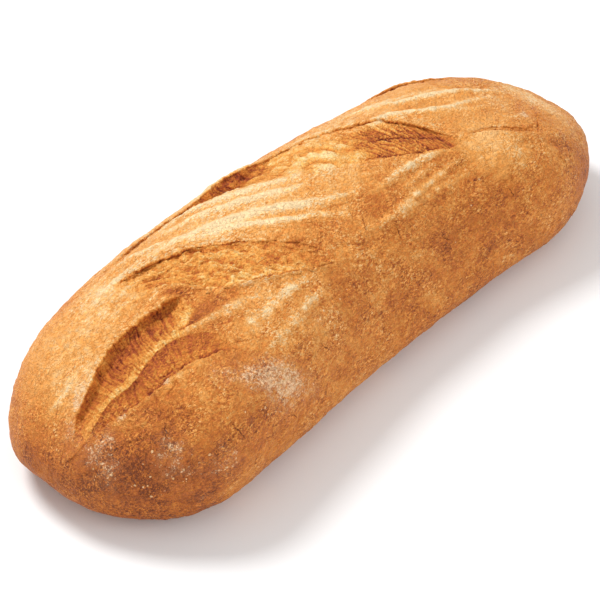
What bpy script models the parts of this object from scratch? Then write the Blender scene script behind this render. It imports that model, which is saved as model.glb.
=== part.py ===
# A rustic bread loaf: one long hearth loaf with a flat base, fat at its near end and
# waisted in the middle, scored with four slanting slashes that tore open in the oven.
# The long axis is X, the crown is up, and the side with the open slashes is -Y.
# The crust is a ball shaped by functions; each slash is a lofted cutter taken out of it.

import bmesh
import bpy
import numpy as np

MM = 0.001

# Driving dimensions of the whole loaf, in metres
LENGTH = 0.380
HALF_WIDTH = 0.0673
WIDTH_TAPER = 0.0072      # the near end is wider than the middle by this, the far end slimmer
HEIGHT = 0.0894           # before the base is trimmed flat
BASE_TRIM = 0.0030        # what the flat base takes off the rounded underside
TIP_HEIGHT = 0.0286       # how high the two tips sit above the untrimmed underside
SIDE_SHIFT = 0.0012       # centres the uneven loaf on its own box, across

# How the form closes towards its tips and how square its sections are
PLAN_POWER = 2.5          # broad, round ends as seen from above
HEEL_POWER = 7.0          # how late the underside curls up towards the tips
CROWN_FALL = 0.5          # share of the crown's height lost towards the tips
CROWN_POWER = 5.0         # how late the crown then drops to the tips
UPPER_POWER = 2.4
LOWER_POWER = 3.2
WAIST_LEVEL = 0.42        # height of the widest line, as a share of each section

# Uneven hand shaping of the two sides: clock degrees of the swell's middle, then
# (millimetres along, millimetres out). Clock 0 is the crown, positive towards the back.
SWELLS = [
    (-70, [(-190, 8), (-152, 19.2), (-95, -0.4), (-38, -13.5), (23, -17.4), (80, -11.5),
           (137, 7.1), (190, 2)]),
    (40, [(-190, 2), (-152, 4.2), (-95, -1.7), (-38, -3), (23, -1.9), (80, 0.7),
          (137, 5.5), (190, 1)]),
]
SWELL_TURN = 46.0         # degrees round over which a swell fades

# Each slash is a lens between its lip, under the raised ear, and its outer edge.
# Points are (millimetres along, clock degrees). An ear or a pocket is
# (millimetres along, millimetres of spread, millimetres of height or depth).
SLASHES = {
    "near slash": dict(
        lip=[(-183, -44), (-178, -27), (-172, -13), (-160, -3), (-144, 4), (-126, 4),
             (-108, 3), (-99, 2), (-94, -10)],
        edge=[(-183, -44), (-173, -31), (-163, -23), (-150, -24), (-134, -20),
              (-117, -21), (-104, -13), (-94, -10)],
        depth=7.0, undercut=3.0, ears=[(-150, 30, 2.5)], pockets=[(-106, 12, 3.0)]),
    "torn band": dict(
        lip=[(-183, -44), (-173, -30), (-163, -22), (-150, -23), (-134, -19),
             (-119, -21), (-108, -29), (-98, -44)],
        edge=[(-183, -44), (-171, -36), (-162, -38), (-150, -39), (-132, -37),
              (-119, -41), (-98, -44)],
        depth=2.0, undercut=0.0, ears=[], pockets=[]),
    "second slash": dict(
        lip=[(-106, 36), (-90, 32), (-81, 26), (-72, 20), (-65, 13), (-54, 1), (-44, -11),
             (-35, -22), (-24, -40)],
        edge=[(-106, 36), (-100, 20), (-96, 2), (-92, -14), (-81, -19), (-65, -26),
              (-43, -37), (-24, -40)],
        depth=3.4, undercut=2.0, ears=[(-84, 22, 2.6)], pockets=[(-88, 14, 1.2)]),
    "third slash": dict(
        lip=[(-99, 52), (-84, 57), (-66, 58), (-50, 54), (-33, 51), (-16, 49), (2, 46),
             (17, 43), (31, 40), (49, 31), (60, 24), (70, 12), (77, -3), (82, -20)],
        edge=[(-99, 52), (-84, 51), (-66, 50), (-50, 46), (-33, 42), (-20, 34), (-8, 24),
              (7, 12), (21, 4), (39, -5), (58, -17), (75, -24), (82, -20)],
        depth=4.2, undercut=3.0, ears=[(-84, 14, 2.2), (-15, 18, 4.5), (60, 22, 2.0)],
        pockets=[(-15, 18, 2.0), (75, 9, 2.5)]),
    "far slash": dict(
        lip=[(62, 72), (82, 64), (98, 55), (110, 51), (119, 44), (134, 35)],
        edge=[(62, 72), (82, 57), (98, 48), (110, 44), (119, 38), (134, 35)],
        depth=2.6, undercut=1.2, ears=[(108, 16, 2.0)], pockets=[]),
}
LENS_FULL = 9.0           # millimetres of opening at which a slash reaches its depth
EAR_REACH = 8.0           # millimetres from the lip over which the ear sinks away

# Low ridges of stretched crust and the creases between them: points as above, then
# millimetres of height and of half width.
RIDGES = [
    ([(-180, -41), (-163, -23), (-150, -24), (-134, -20), (-117, -21), (-100, -11)], 1.6, 3.5),
    ([(-120, -21), (-108, -26), (-89, -29), (-78, -32)], 1.6, 3.5),
    ([(-94, -12), (-81, -19), (-65, -26), (-43, -37), (-26, -40), (-7, -48)], -1.4, 3.0),
    ([(-94, -41), (-77, -41), (-59, -40)], 1.0, 4.0),
    ([(-89, -54), (-72, -53), (-53, -50)], 1.0, 4.0),
    ([(72, -22), (44, -19), (16, -21)], 1.2, 4.0),
    ([(74, -32), (41, -35), (18, -38)], 1.0, 4.0),
    ([(79, -42), (31, -40), (-12, -35)], 0.8, 4.5),
    ([(38, 26), (75, 18), (101, 4), (137, -1)], 1.2, 4.5),
    ([(67, 39), (95, 23), (123, 11), (144, 2)], 1.2, 4.5),
    ([(-86, 38), (-61, 27), (-38, 15), (-18, -2), (0, -14)], 1.0, 5.0),
    ([(82, -19), (98, -24), (108, -30), (118, -36), (131, -41)], -2.4, 3.5),
]
PILLOW = (99, -38, 2.4, 20.0)    # the swollen crust in front of the last crease

# Mesh density: rings from tip to tip, segments round a section
RINGS = 86
SEGMENTS = 54
RING_CROWDING = 0.3       # draws the rings together along the middle
CROWN_CROWDING = 0.4      # draws the segments together over the crown
CURVE_SAMPLES = 80
SLASH_STEP = 0.0036       # spacing of a cutter's sections along its lip
BED_COLUMNS = 7           # points across a torn bed

# The cutters: how a slash is torn out
CUTTER_REACH = 0.016      # how far a cutter stands over the crust
CUTTER_SKIRT = 0.0004     # its lip side leaves the crust this far above it
CUTTER_SPILL = 0.0010     # its outer side stands this far past the slash's edge
CUTTER_MIN = 0.0012       # narrowest opening, at a slash's ends
END_RISE = 0.0003         # the bed rises out of the crust by this at those ends
UNDERCUT_POWER = 3        # how close under the lip the undercut stays
BED_POWER = 1.1           # fall of a bed from its outer edge to its lip
TROUGH_POWER = 0.7        # roundness of the trough where there is no undercut
CRAG_HEIGHT = 0.0009      # roughness of the torn crumb

CRUST_COLOUR = (0.62, 0.30, 0.085, 1.0)
CRUST_ROUGHNESS = 0.62


def bell(x, place, spread):
    """1 at the place, fading over the spread."""
    return np.exp(-((x - place) / spread) ** 2)


def bells(x, entries):
    """Sum of bells given as (millimetres along, spread, height), at x in metres."""
    return sum((h * MM * bell(x, p * MM, s * MM) for p, s, h in entries), 0 * x)


def smooth_steps(x, stations):
    """Cubic curve through (place, value) stations, in millimetres, at x in metres."""
    place, value = np.array(stations, dtype=float).T * MM
    slope = np.gradient(value, place)
    index = np.clip(np.searchsorted(place, x) - 1, 0, len(place) - 2)
    step = place[index + 1] - place[index]
    t = (x - place[index]) / step
    start = value[index] * (1 + 2 * t) * (1 - t) ** 2 + slope[index] * step * t * (1 - t) ** 2
    end = value[index + 1] * t ** 2 * (3 - 2 * t) - slope[index + 1] * step * t ** 2 * (1 - t)
    return start + end


def smooth_form(along, clock):
    """Untorn loaf at along (-1..1, tip to tip) and clock (radians from the crown)."""
    along = np.clip(along, -1 + 1e-9, 1 - 1e-9)
    closing = (1 - np.abs(along) ** PLAN_POWER) ** (1 / PLAN_POWER)
    crown = (1 - CROWN_FALL * along ** 2) * np.sqrt(1 - np.abs(along) ** CROWN_POWER)
    heel = np.sqrt(1 - np.abs(along) ** HEEL_POWER)
    top = TIP_HEIGHT + (HEIGHT - TIP_HEIGHT) * crown
    low = TIP_HEIGHT * (1 - heel)
    middle = low + WAIST_LEVEL * (top - low)
    width = (HALF_WIDTH - WIDTH_TAPER * along) * closing
    across = np.abs(np.sin(clock)) / width
    upper = across ** UPPER_POWER + np.abs(np.cos(clock) / (top - middle)) ** UPPER_POWER
    lower = across ** LOWER_POWER + np.abs(np.cos(clock) / (middle - low)) ** LOWER_POWER
    above = np.cos(clock) >= 0
    radius = np.where(above, upper ** (-1 / UPPER_POWER), lower ** (-1 / LOWER_POWER))
    for degrees, stations in SWELLS:
        turn = (clock - np.radians(degrees) + np.pi) % (2 * np.pi) - np.pi
        out = smooth_steps(along * LENGTH / 2, stations)
        radius = radius + out * closing * bell(turn, 0, np.radians(SWELL_TURN))
    x = along * LENGTH / 2
    y = radius * np.sin(clock) + SIDE_SHIFT
    z = middle + radius * np.cos(clock) - BASE_TRIM
    return np.stack([x, y, z], axis=-1)


def smooth_normals(along, clock):
    """Outward unit normals of the untorn loaf, from small steps along and round it."""
    step = 1e-4
    near = np.clip(along - step, -1, 1)
    far = np.clip(along + step, -1, 1)
    forward = smooth_form(far, clock) - smooth_form(near, clock)
    sideways = smooth_form(along, clock + step) - smooth_form(along, clock - step)
    normal = np.cross(forward, sideways)
    size = np.linalg.norm(normal, axis=-1, keepdims=True)
    tip = np.stack([np.sign(along), 0 * along, 0 * along], axis=-1)
    return np.where(np.abs(along)[..., None] > 0.9999, tip, normal / np.maximum(size, 1e-15))


def smooth_route(points, count):
    """(along, clock) stations of a smooth curve through the points."""
    points = np.array(points, dtype=float)
    knots = np.concatenate([points[:1] * 2 - points[1:2], points, points[-1:] * 2 - points[-2:-1]])
    place = np.linspace(0, len(points) - 1 - 1e-9, count)
    index = place.astype(int)
    t = (place - index)[:, None]
    before, start, end, after = (knots[index + k] for k in range(4))
    spot = 0.5 * (2 * start + (end - before) * t
                  + (2 * before - 5 * start + 4 * end - after) * t ** 2
                  + (3 * start - before - 3 * end + after) * t ** 3)
    return spot[:, 0] * MM / (LENGTH / 2), np.radians(spot[:, 1])


def even_route(points, count):
    """The same curve with its stations evenly spaced over the crust, and its length."""
    along, clock = smooth_route(points, 400)
    line = smooth_form(along, clock)
    run = np.concatenate([[0], np.cumsum(np.linalg.norm(np.diff(line, axis=0), axis=1))])
    even = np.linspace(0, run[-1], count)
    return np.interp(even, run, along), np.interp(even, run, clock), run[-1]


def distance_to(places, line):
    """Distance from each place to a line of samples, and the nearest sample."""
    offset = places[:, None] - line[None]
    nearest = np.argmin((offset ** 2).sum(axis=2), axis=1)
    start = line[np.maximum(nearest - 1, 0)]
    chord = line[np.minimum(nearest + 1, len(line) - 1)] - start
    share = ((places - start) * chord).sum(axis=1) / (chord ** 2).sum(axis=1)
    foot = start + chord * np.clip(share, 0, 1)[:, None]
    return np.linalg.norm(places - foot, axis=1), nearest


def crust_relief(places):
    """Height of the crust over the untorn form: ridges, creases, ears and the pillow."""
    height = np.zeros(len(places))
    for points, rise, half_width in RIDGES:
        line = smooth_form(*smooth_route(points, CURVE_SAMPLES))
        away, nearest = distance_to(places, line)
        ends = np.sqrt(np.sin(np.pi * nearest / (CURVE_SAMPLES - 1)))
        height += rise * MM * ends * bell(away, 0, half_width * MM)
    for slash in SLASHES.values():
        if slash["ears"]:
            line = smooth_form(*smooth_route(slash["lip"], CURVE_SAMPLES))
            away, nearest = distance_to(places, line)
            raised = bells(line[nearest, 0], slash["ears"])
            height += raised * bell(away, 0, EAR_REACH * MM)
    place, degrees, rise, spread = PILLOW
    middle = smooth_form(np.array([place * MM * 2 / LENGTH]), np.radians([degrees]))
    height += rise * MM * bell(np.linalg.norm(places - middle, axis=1), 0, spread * MM)
    return height


def crust_form(along, clock, lift=0.0):
    """The baked crust before it tears, or a skin lifted off it."""
    places = smooth_form(along, clock)
    height = crust_relief(places) + lift
    return places + smooth_normals(along, clock) * height[:, None]


def crags(places):
    """Uneven torn crumb, -1 to 1: crossing waves 5 to 11 millimetres long."""
    x, y, z = places.T / MM
    wide = np.sin(0.71 * x + 0.9 * np.sin(0.33 * y)) * np.cos(0.58 * y - 0.21 * x)
    fine = np.sin(1.13 * x - 0.87 * y + 0.6 * z) * np.cos(0.93 * y + 0.5 * x)
    return 0.6 * wide + 0.4 * fine


def loft(rows):
    """A closed mesh through a row of sections with the same number of points."""
    shape = bmesh.new()
    rings = [[shape.verts.new(point) for point in row] for row in rows]
    count = len(rings[0])
    for ring, following in zip(rings, rings[1:]):
        for k in range(count):
            after = (k + 1) % count
            shape.faces.new((ring[k], ring[after], following[after], following[k]))
    shape.faces.new(rings[0][::-1])
    shape.faces.new(rings[-1])
    bmesh.ops.triangulate(shape, faces=shape.faces[:])
    bmesh.ops.recalc_face_normals(shape, faces=shape.faces[:])
    return shape


def slash_cutter(name, slash, collection):
    """The wedge torn out along one slash: deepest under its lip, where it undercuts the
    ear, and rising to the crust at its outer edge."""
    run = even_route(slash["lip"], 2)[2]
    count = int(round(run / SLASH_STEP)) + 1
    lip_along, lip_clock, _ = even_route(slash["lip"], count)
    edge_along, edge_clock, _ = even_route(slash["edge"], count)
    gap = smooth_form(lip_along, lip_clock) - smooth_form(edge_along, edge_clock)
    opening = np.linalg.norm(gap, axis=1)
    full = np.clip(opening / (LENS_FULL * MM), 0, 1)
    deep = (slash["depth"] * MM + bells(lip_along * LENGTH / 2, slash["pockets"])) * full
    widen = np.maximum(CUTTER_MIN - opening, 0) / (HALF_WIDTH * 2)
    spare = np.maximum(opening, CUTTER_MIN)

    def skin(share, lift):
        along = lip_along + (edge_along - lip_along) * share
        clock = lip_clock + (edge_clock - lip_clock) * share - widen * (2 * share - 1)
        return crust_form(along, clock, lift)

    columns = [skin(0.0, CUTTER_REACH), skin(0.0, CUTTER_SKIRT)]
    for share in np.linspace(0, 1, BED_COLUMNS):
        tuck = slash["undercut"] * MM / spare * full
        across = share - tuck * (1 - share) ** UNDERCUT_POWER
        bed = -deep * (1 - share) ** BED_POWER
        if not slash["undercut"]:
            bed = -deep * np.sin(np.pi * share) ** TROUGH_POWER
        rough = CRAG_HEIGHT * crags(skin(across, 0.0)) * np.sin(np.pi * share) * full
        columns.append(skin(across, bed + rough + END_RISE * (1 - full)))
    outside = 1 + CUTTER_SPILL / spare
    columns += [skin(outside, 2 * CUTTER_SKIRT), skin(outside, CUTTER_REACH)]
    shape = loft(np.stack(columns, axis=1))
    mesh = bpy.data.meshes.new(name)
    shape.to_mesh(mesh)
    shape.free()
    cutter = bpy.data.objects.new(name, mesh)
    cutter.hide_render = True
    cutter.display_type = "WIRE"
    collection.objects.link(cutter)
    return cutter


def crust_material():
    material = bpy.data.materials.new("crust")
    material.use_nodes = True
    shader = material.node_tree.nodes["Principled BSDF"]
    shader.inputs["Base Color"].default_value = CRUST_COLOUR
    shader.inputs["Roughness"].default_value = CRUST_ROUGHNESS
    shader.inputs["Metallic"].default_value = 0.0
    return material


def make_loaf(collection):
    """A ball with its poles at the loaf's tips, shaped, then trimmed flat underneath."""
    shape = bmesh.new()
    bmesh.ops.create_uvsphere(shape, u_segments=SEGMENTS, v_segments=RINGS, radius=1.0)
    ball = np.array([v.co[:] for v in shape.verts])
    polar = np.arccos(np.clip(-ball[:, 2], -1, 1))
    polar = polar + RING_CROWDING * np.sin(2 * polar) / 2
    clock = np.arctan2(ball[:, 1], ball[:, 0])
    clock = clock - CROWN_CROWDING * np.sin(clock)
    for vertex, place in zip(shape.verts, crust_form(-np.cos(polar), clock)):
        vertex.co = place
    everything = shape.verts[:] + shape.edges[:] + shape.faces[:]
    cut = bmesh.ops.bisect_plane(shape, geom=everything, plane_co=(0, 0, 0), plane_no=(0, 0, -1),
                                 clear_outer=True, dist=1e-6)
    rim = [piece for piece in cut["geom_cut"] if isinstance(piece, bmesh.types.BMEdge)]
    bmesh.ops.contextual_create(shape, geom=rim)
    bmesh.ops.recalc_face_normals(shape, faces=shape.faces[:])
    mesh = bpy.data.meshes.new("loaf")
    shape.to_mesh(mesh)
    shape.free()
    mesh.materials.append(crust_material())
    loaf = bpy.data.objects.new("loaf", mesh)
    collection.objects.link(loaf)
    return loaf


def take_out(loaf, cutter):
    cut = loaf.modifiers.new("torn out: " + cutter.name, "BOOLEAN")
    cut.operation = "DIFFERENCE"
    cut.object = cutter


def main():
    for thing in list(bpy.data.objects):
        bpy.data.objects.remove(thing, do_unlink=True)
    parts = bpy.data.collections.new("rustic bread loaf")
    cutters = bpy.data.collections.new("slash cutters")
    bpy.context.scene.collection.children.link(parts)
    bpy.context.scene.collection.children.link(cutters)
    loaf = make_loaf(parts)
    for name, slash in SLASHES.items():
        take_out(loaf, slash_cutter(name, slash, cutters))


main()
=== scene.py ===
import bpy
import numpy as np
from mathutils import Matrix


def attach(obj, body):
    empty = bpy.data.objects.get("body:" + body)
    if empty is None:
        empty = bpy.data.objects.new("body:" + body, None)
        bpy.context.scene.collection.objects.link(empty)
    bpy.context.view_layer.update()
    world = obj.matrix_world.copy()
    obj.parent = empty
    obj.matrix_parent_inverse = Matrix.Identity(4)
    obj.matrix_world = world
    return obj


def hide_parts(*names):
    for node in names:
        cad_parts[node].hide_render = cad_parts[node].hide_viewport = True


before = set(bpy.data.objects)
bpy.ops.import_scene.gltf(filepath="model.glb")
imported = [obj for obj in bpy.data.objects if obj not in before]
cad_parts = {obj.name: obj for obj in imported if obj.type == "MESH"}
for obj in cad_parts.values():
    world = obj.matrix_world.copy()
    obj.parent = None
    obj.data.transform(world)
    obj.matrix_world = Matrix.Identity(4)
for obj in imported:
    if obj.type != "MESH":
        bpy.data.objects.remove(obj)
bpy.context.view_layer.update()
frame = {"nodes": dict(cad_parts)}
mm = 0.001
print("frame loaded:", ", ".join(frame["nodes"]))

# The loaf before it tore: the same sizes as its solid, in metres
loaf = dict(length=0.380, halfWidth=0.0673, widthTaper=0.0072, height=0.0894, baseTrim=0.0030,
            tipHeight=0.0286, sideShift=0.0012, planPower=2.5, heelPower=7.0, crownFall=0.5,
            crownPower=5.0, upperPower=2.4, lowerPower=3.2, waistLevel=0.42, swellTurn=46.0,
            baseRound=0.0012)
halfLength = loaf["length"] / 2

# Hand shaping of the two sides: clock degrees, then (mm along, mm out). Clock 0 is the crown, positive
# towards the back and negative towards the open side.
swells = [
    (-70, [(-190, 8), (-152, 19.2), (-95, -.4), (-38, -13.5), (23, -17.4), (80, -11.5), (137, 7.1),
           (190, 2)]),
    (40, [(-190, 2), (-152, 4.2), (-95, -1.7), (-38, -3), (23, -1.9), (80, .7), (137, 5.5), (190, 1)]),
]

# Whole numbers that scramble the place of a lattice corner into its direction
scramble = dict(axes=np.array([73856093, 19349663, 83492791]), seed=2654435761, mask=0x7FFFFFFF,
                stirs=((15, 739982445), (12, 695872825)), turns=4096)


def latticeNoise(points, seed):
    # gradient noise, -1 to 1, one lattice cell to a unit: each corner's direction comes from mixing
    # its whole numbers, and the eight corners are blended with the smooth quintic step
    s = scramble
    cell = np.floor(points).astype(np.int64)
    part = points - cell
    ease = part ** 3 * (part * (part * 6 - 15) + 10)
    total = np.zeros(points.shape[:-1])
    for corner in range(8):
        step = np.array([corner & 1, corner >> 1 & 1, corner >> 2 & 1])
        spot = (cell + step) * s["axes"]
        mixed = (spot[..., 0] ^ spot[..., 1] ^ spot[..., 2] ^ (seed * s["seed"])) & s["mask"]
        for shift, stir in s["stirs"]:
            mixed = ((mixed ^ mixed >> shift) * stir) & s["mask"]
        turn = mixed % s["turns"] * (2 * np.pi / s["turns"])
        lift = (mixed >> 12) % s["turns"] / ((s["turns"] - 1) / 2) - 1
        flat = np.sqrt(1 - lift ** 2)
        away = part - step
        slope = (away[..., 0] * flat * np.cos(turn) + away[..., 1] * flat * np.sin(turn)
                 + away[..., 2] * lift)
        total += slope * np.prod(np.where(step, ease, 1 - ease), axis=-1)
    return total * 1.6


def fractalNoise(points, size, seed, octaves=3, gain=0.5):
    # layers of lattice noise, each half the size and gain times the strength of the last
    layers = [gain ** k * latticeNoise(points / size * 2 ** k + 11.7 * k, seed + k)
              for k in range(octaves)]
    return 2.0 * sum(layers) / sum(gain ** k for k in range(octaves))


def foldedNoise(points, seed, octaves=2):
    # noise folded at its middle: sharp crests between rounded hollows, about zero
    layers = [0.5 ** k * (0.75 - 3.0 * np.abs(latticeNoise(points * 2 ** k + 5.3 * k, seed + k)))
              for k in range(octaves)]
    return sum(layers) / sum(0.5 ** k for k in range(octaves))


def easeStep(value):
    value = np.clip(value, 0, 1)
    return value * value * (3 - 2 * value)


def bell(value, spread):
    return np.exp(-(value / spread) ** 2)


def smoothSteps(x, stations):
    # cubic curve through the stations, its slope at each taken from its neighbours
    place, value = np.array(stations, dtype=float).T
    slope = np.gradient(value, place)
    index = np.clip(np.searchsorted(place, x) - 1, 0, len(place) - 2)
    step = place[index + 1] - place[index]
    t = np.clip((x - place[index]) / step, 0, 1)
    start = value[index] * (1 + 2 * t) * (1 - t) ** 2 + slope[index] * step * t * (1 - t) ** 2
    end = value[index + 1] * t ** 2 * (3 - 2 * t) - slope[index + 1] * step * t ** 2 * (1 - t)
    return start + end


def untornForm(along, clock):
    # section at each place along, -1 to 1: a rounded square on its side, squarer below the waist than
    # above, closing to the tips by powers, with the two sides' swells added along the radius
    s = loaf
    along = np.clip(along, -1 + 1e-9, 1 - 1e-9)
    closing = (1 - np.abs(along) ** s["planPower"]) ** (1 / s["planPower"])
    crown = (1 - s["crownFall"] * along ** 2) * np.sqrt(1 - np.abs(along) ** s["crownPower"])
    heel = np.sqrt(1 - np.abs(along) ** s["heelPower"])
    top = s["tipHeight"] + (s["height"] - s["tipHeight"]) * crown
    low = s["tipHeight"] * (1 - heel)
    middle = low + s["waistLevel"] * (top - low)
    across = np.abs(np.sin(clock)) / ((s["halfWidth"] - s["widthTaper"] * along) * closing)
    upright = np.abs(np.cos(clock))
    upper = across ** s["upperPower"] + (upright / (top - middle)) ** s["upperPower"]
    lower = across ** s["lowerPower"] + (upright / (middle - low)) ** s["lowerPower"]
    radius = np.where(np.cos(clock) >= 0, upper ** (-1 / s["upperPower"]),
                      lower ** (-1 / s["lowerPower"]))
    for degrees, stations in swells:
        turn = (clock - np.radians(degrees) + np.pi) % (2 * np.pi) - np.pi
        out = smoothSteps(along * halfLength / mm, stations) * mm
        radius = radius + out * closing * bell(turn, np.radians(s["swellTurn"]))
    return np.stack([along * halfLength + 0 * clock, radius * np.sin(clock) + s["sideShift"],
                     middle + radius * np.cos(clock) - s["baseTrim"]], axis=-1)


def outwardNormals(along, clock):
    # cross product of small steps along and round the untorn form; the tips point straight out
    step = 1e-4
    forward = untornForm(np.clip(along + step, -1, 1), clock)
    forward = forward - untornForm(np.clip(along - step, -1, 1), clock)
    sideways = untornForm(along, clock + step) - untornForm(along, clock - step)
    normal = np.cross(forward, sideways)
    size = np.linalg.norm(normal, axis=-1, keepdims=True)
    tip = np.stack([np.sign(along) + 0 * clock, 0 * along * clock, 0 * along * clock], axis=-1)
    atTip = (np.abs(along) > 0.9999)[..., None] | (size < 1e-14)
    return np.where(atTip, tip, normal / np.maximum(size, 1e-14))


def metresPerRadian(along, clock):
    step = 1e-3
    apart = untornForm(along, clock + step) - untornForm(along, clock - step)
    return np.linalg.norm(apart, axis=-1) / (2 * step)


# The rails that the crust's columns follow, as (mm along, clock degrees), from the open side up and
# over. Between its ends a slash opens from its edge rail to its lip rail.
rails = dict(
    bandEdge=[(-190, -52), (-183, -47), (-171, -37), (-162, -38), (-150, -39), (-132, -38), (-119, -41),
              (-98, -46), (-60, -64), (-24, -80), (0, -88), (60, -102), (190, -105)],
    bandLip=[(-190, -49), (-183, -44.5), (-173, -33.5), (-163, -27), (-150, -27.5), (-134, -23.5),
             (-119, -24.5), (-108, -31), (-98, -44), (-60, -58), (-24, -72), (0, -80), (60, -94),
             (190, -100)],
    nearEdge=[(-190, -47), (-183, -43), (-173, -32), (-163, -25), (-150, -25.5), (-134, -21.5),
              (-117, -21), (-104, -13.5), (-94, -11), (-80, -26), (-60, -38), (-24, -62), (0, -74),
              (60, -90), (190, -96)],
    nearLip=[(-190, -44), (-183, -41), (-178, -27), (-172, -13), (-160, -3), (-144, 4), (-126, 4.5),
             (-112, 2.5), (-101, .5), (-94, -7), (-80, -22), (-60, -31), (-24, -46), (0, -56),
             (60, -72), (190, -82)],
    secondEdge=[(-190, -30), (-183, -28), (-172, -4), (-160, 6), (-144, 12), (-126, 13.5), (-108, 12),
                (-99, 9), (-94, 0), (-88, -13), (-81, -19), (-65, -26), (-43, -36.5), (-24, -41.5),
                (0, -52), (60, -66), (131, -76), (190, -78)],
    secondLip=[(-190, -10), (-183, 2), (-172, 20), (-160, 28), (-144, 35), (-120, 38), (-106, 36),
               (-90, 32), (-81, 26), (-72, 20.5), (-65, 13), (-54, 1), (-44, -11), (-35, -22),
               (-24, -38), (0, -45), (40, -47), (82, -50), (131, -60), (190, -62)],
    thirdEdge=[(-190, 12), (-183, 30), (-172, 48), (-150, 56), (-120, 56), (-99, 50.5), (-84, 51),
               (-66, 50), (-50, 46), (-33, 42), (-20, 34), (-8, 24), (7, 12), (21, 4), (39, -5),
               (58, -17), (75, -24), (85, -24), (98, -27), (108, -33), (118, -39), (131, -44),
               (160, -46), (190, -46)],
    thirdLip=[(-190, 38), (-183, 58), (-172, 74), (-150, 78), (-120, 66), (-99, 54.5), (-84, 57),
              (-66, 58), (-50, 54.5), (-33, 51), (-16, 49), (2, 46), (17, 43), (31, 40), (49, 31),
              (60, 24), (70, 12), (77, -3), (82, -17), (98, -21), (108, -26), (118, -32), (131, -37),
              (160, -36), (190, -34)],
    farEdge=[(-190, 60), (-172, 96), (-120, 94), (-60, 86), (0, 78), (40, 72), (62, 70), (82, 57),
             (98, 48), (110, 44), (119, 38.5), (134, 33), (160, 18), (190, 8)],
    farLip=[(-190, 75), (-172, 112), (-120, 108), (-60, 98), (0, 90), (40, 82), (62, 74), (82, 64),
            (98, 55), (110, 51), (119, 44), (134, 36), (160, 25), (190, 20)],
)
raggedRails = dict(wide=1.6, wideSize=6.0, fine=1.3, fineSize=2.2,   # degrees and mm
                   calmer=dict(bandEdge=.7, bandLip=.3, nearEdge=.3, secondEdge=.6, secondLip=.6,
                               thirdEdge=.5))

# The crust lies between the rails in these strips, from the underside's middle round to it again
stripOrder = ["under", "band", "wedge", "near", "strip", "second", "saddle", "third", "shoulder", "far",
              "back"]
strips = dict(zip(stripOrder, zip([None] + list(rails), list(rails) + [None])))

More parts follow.
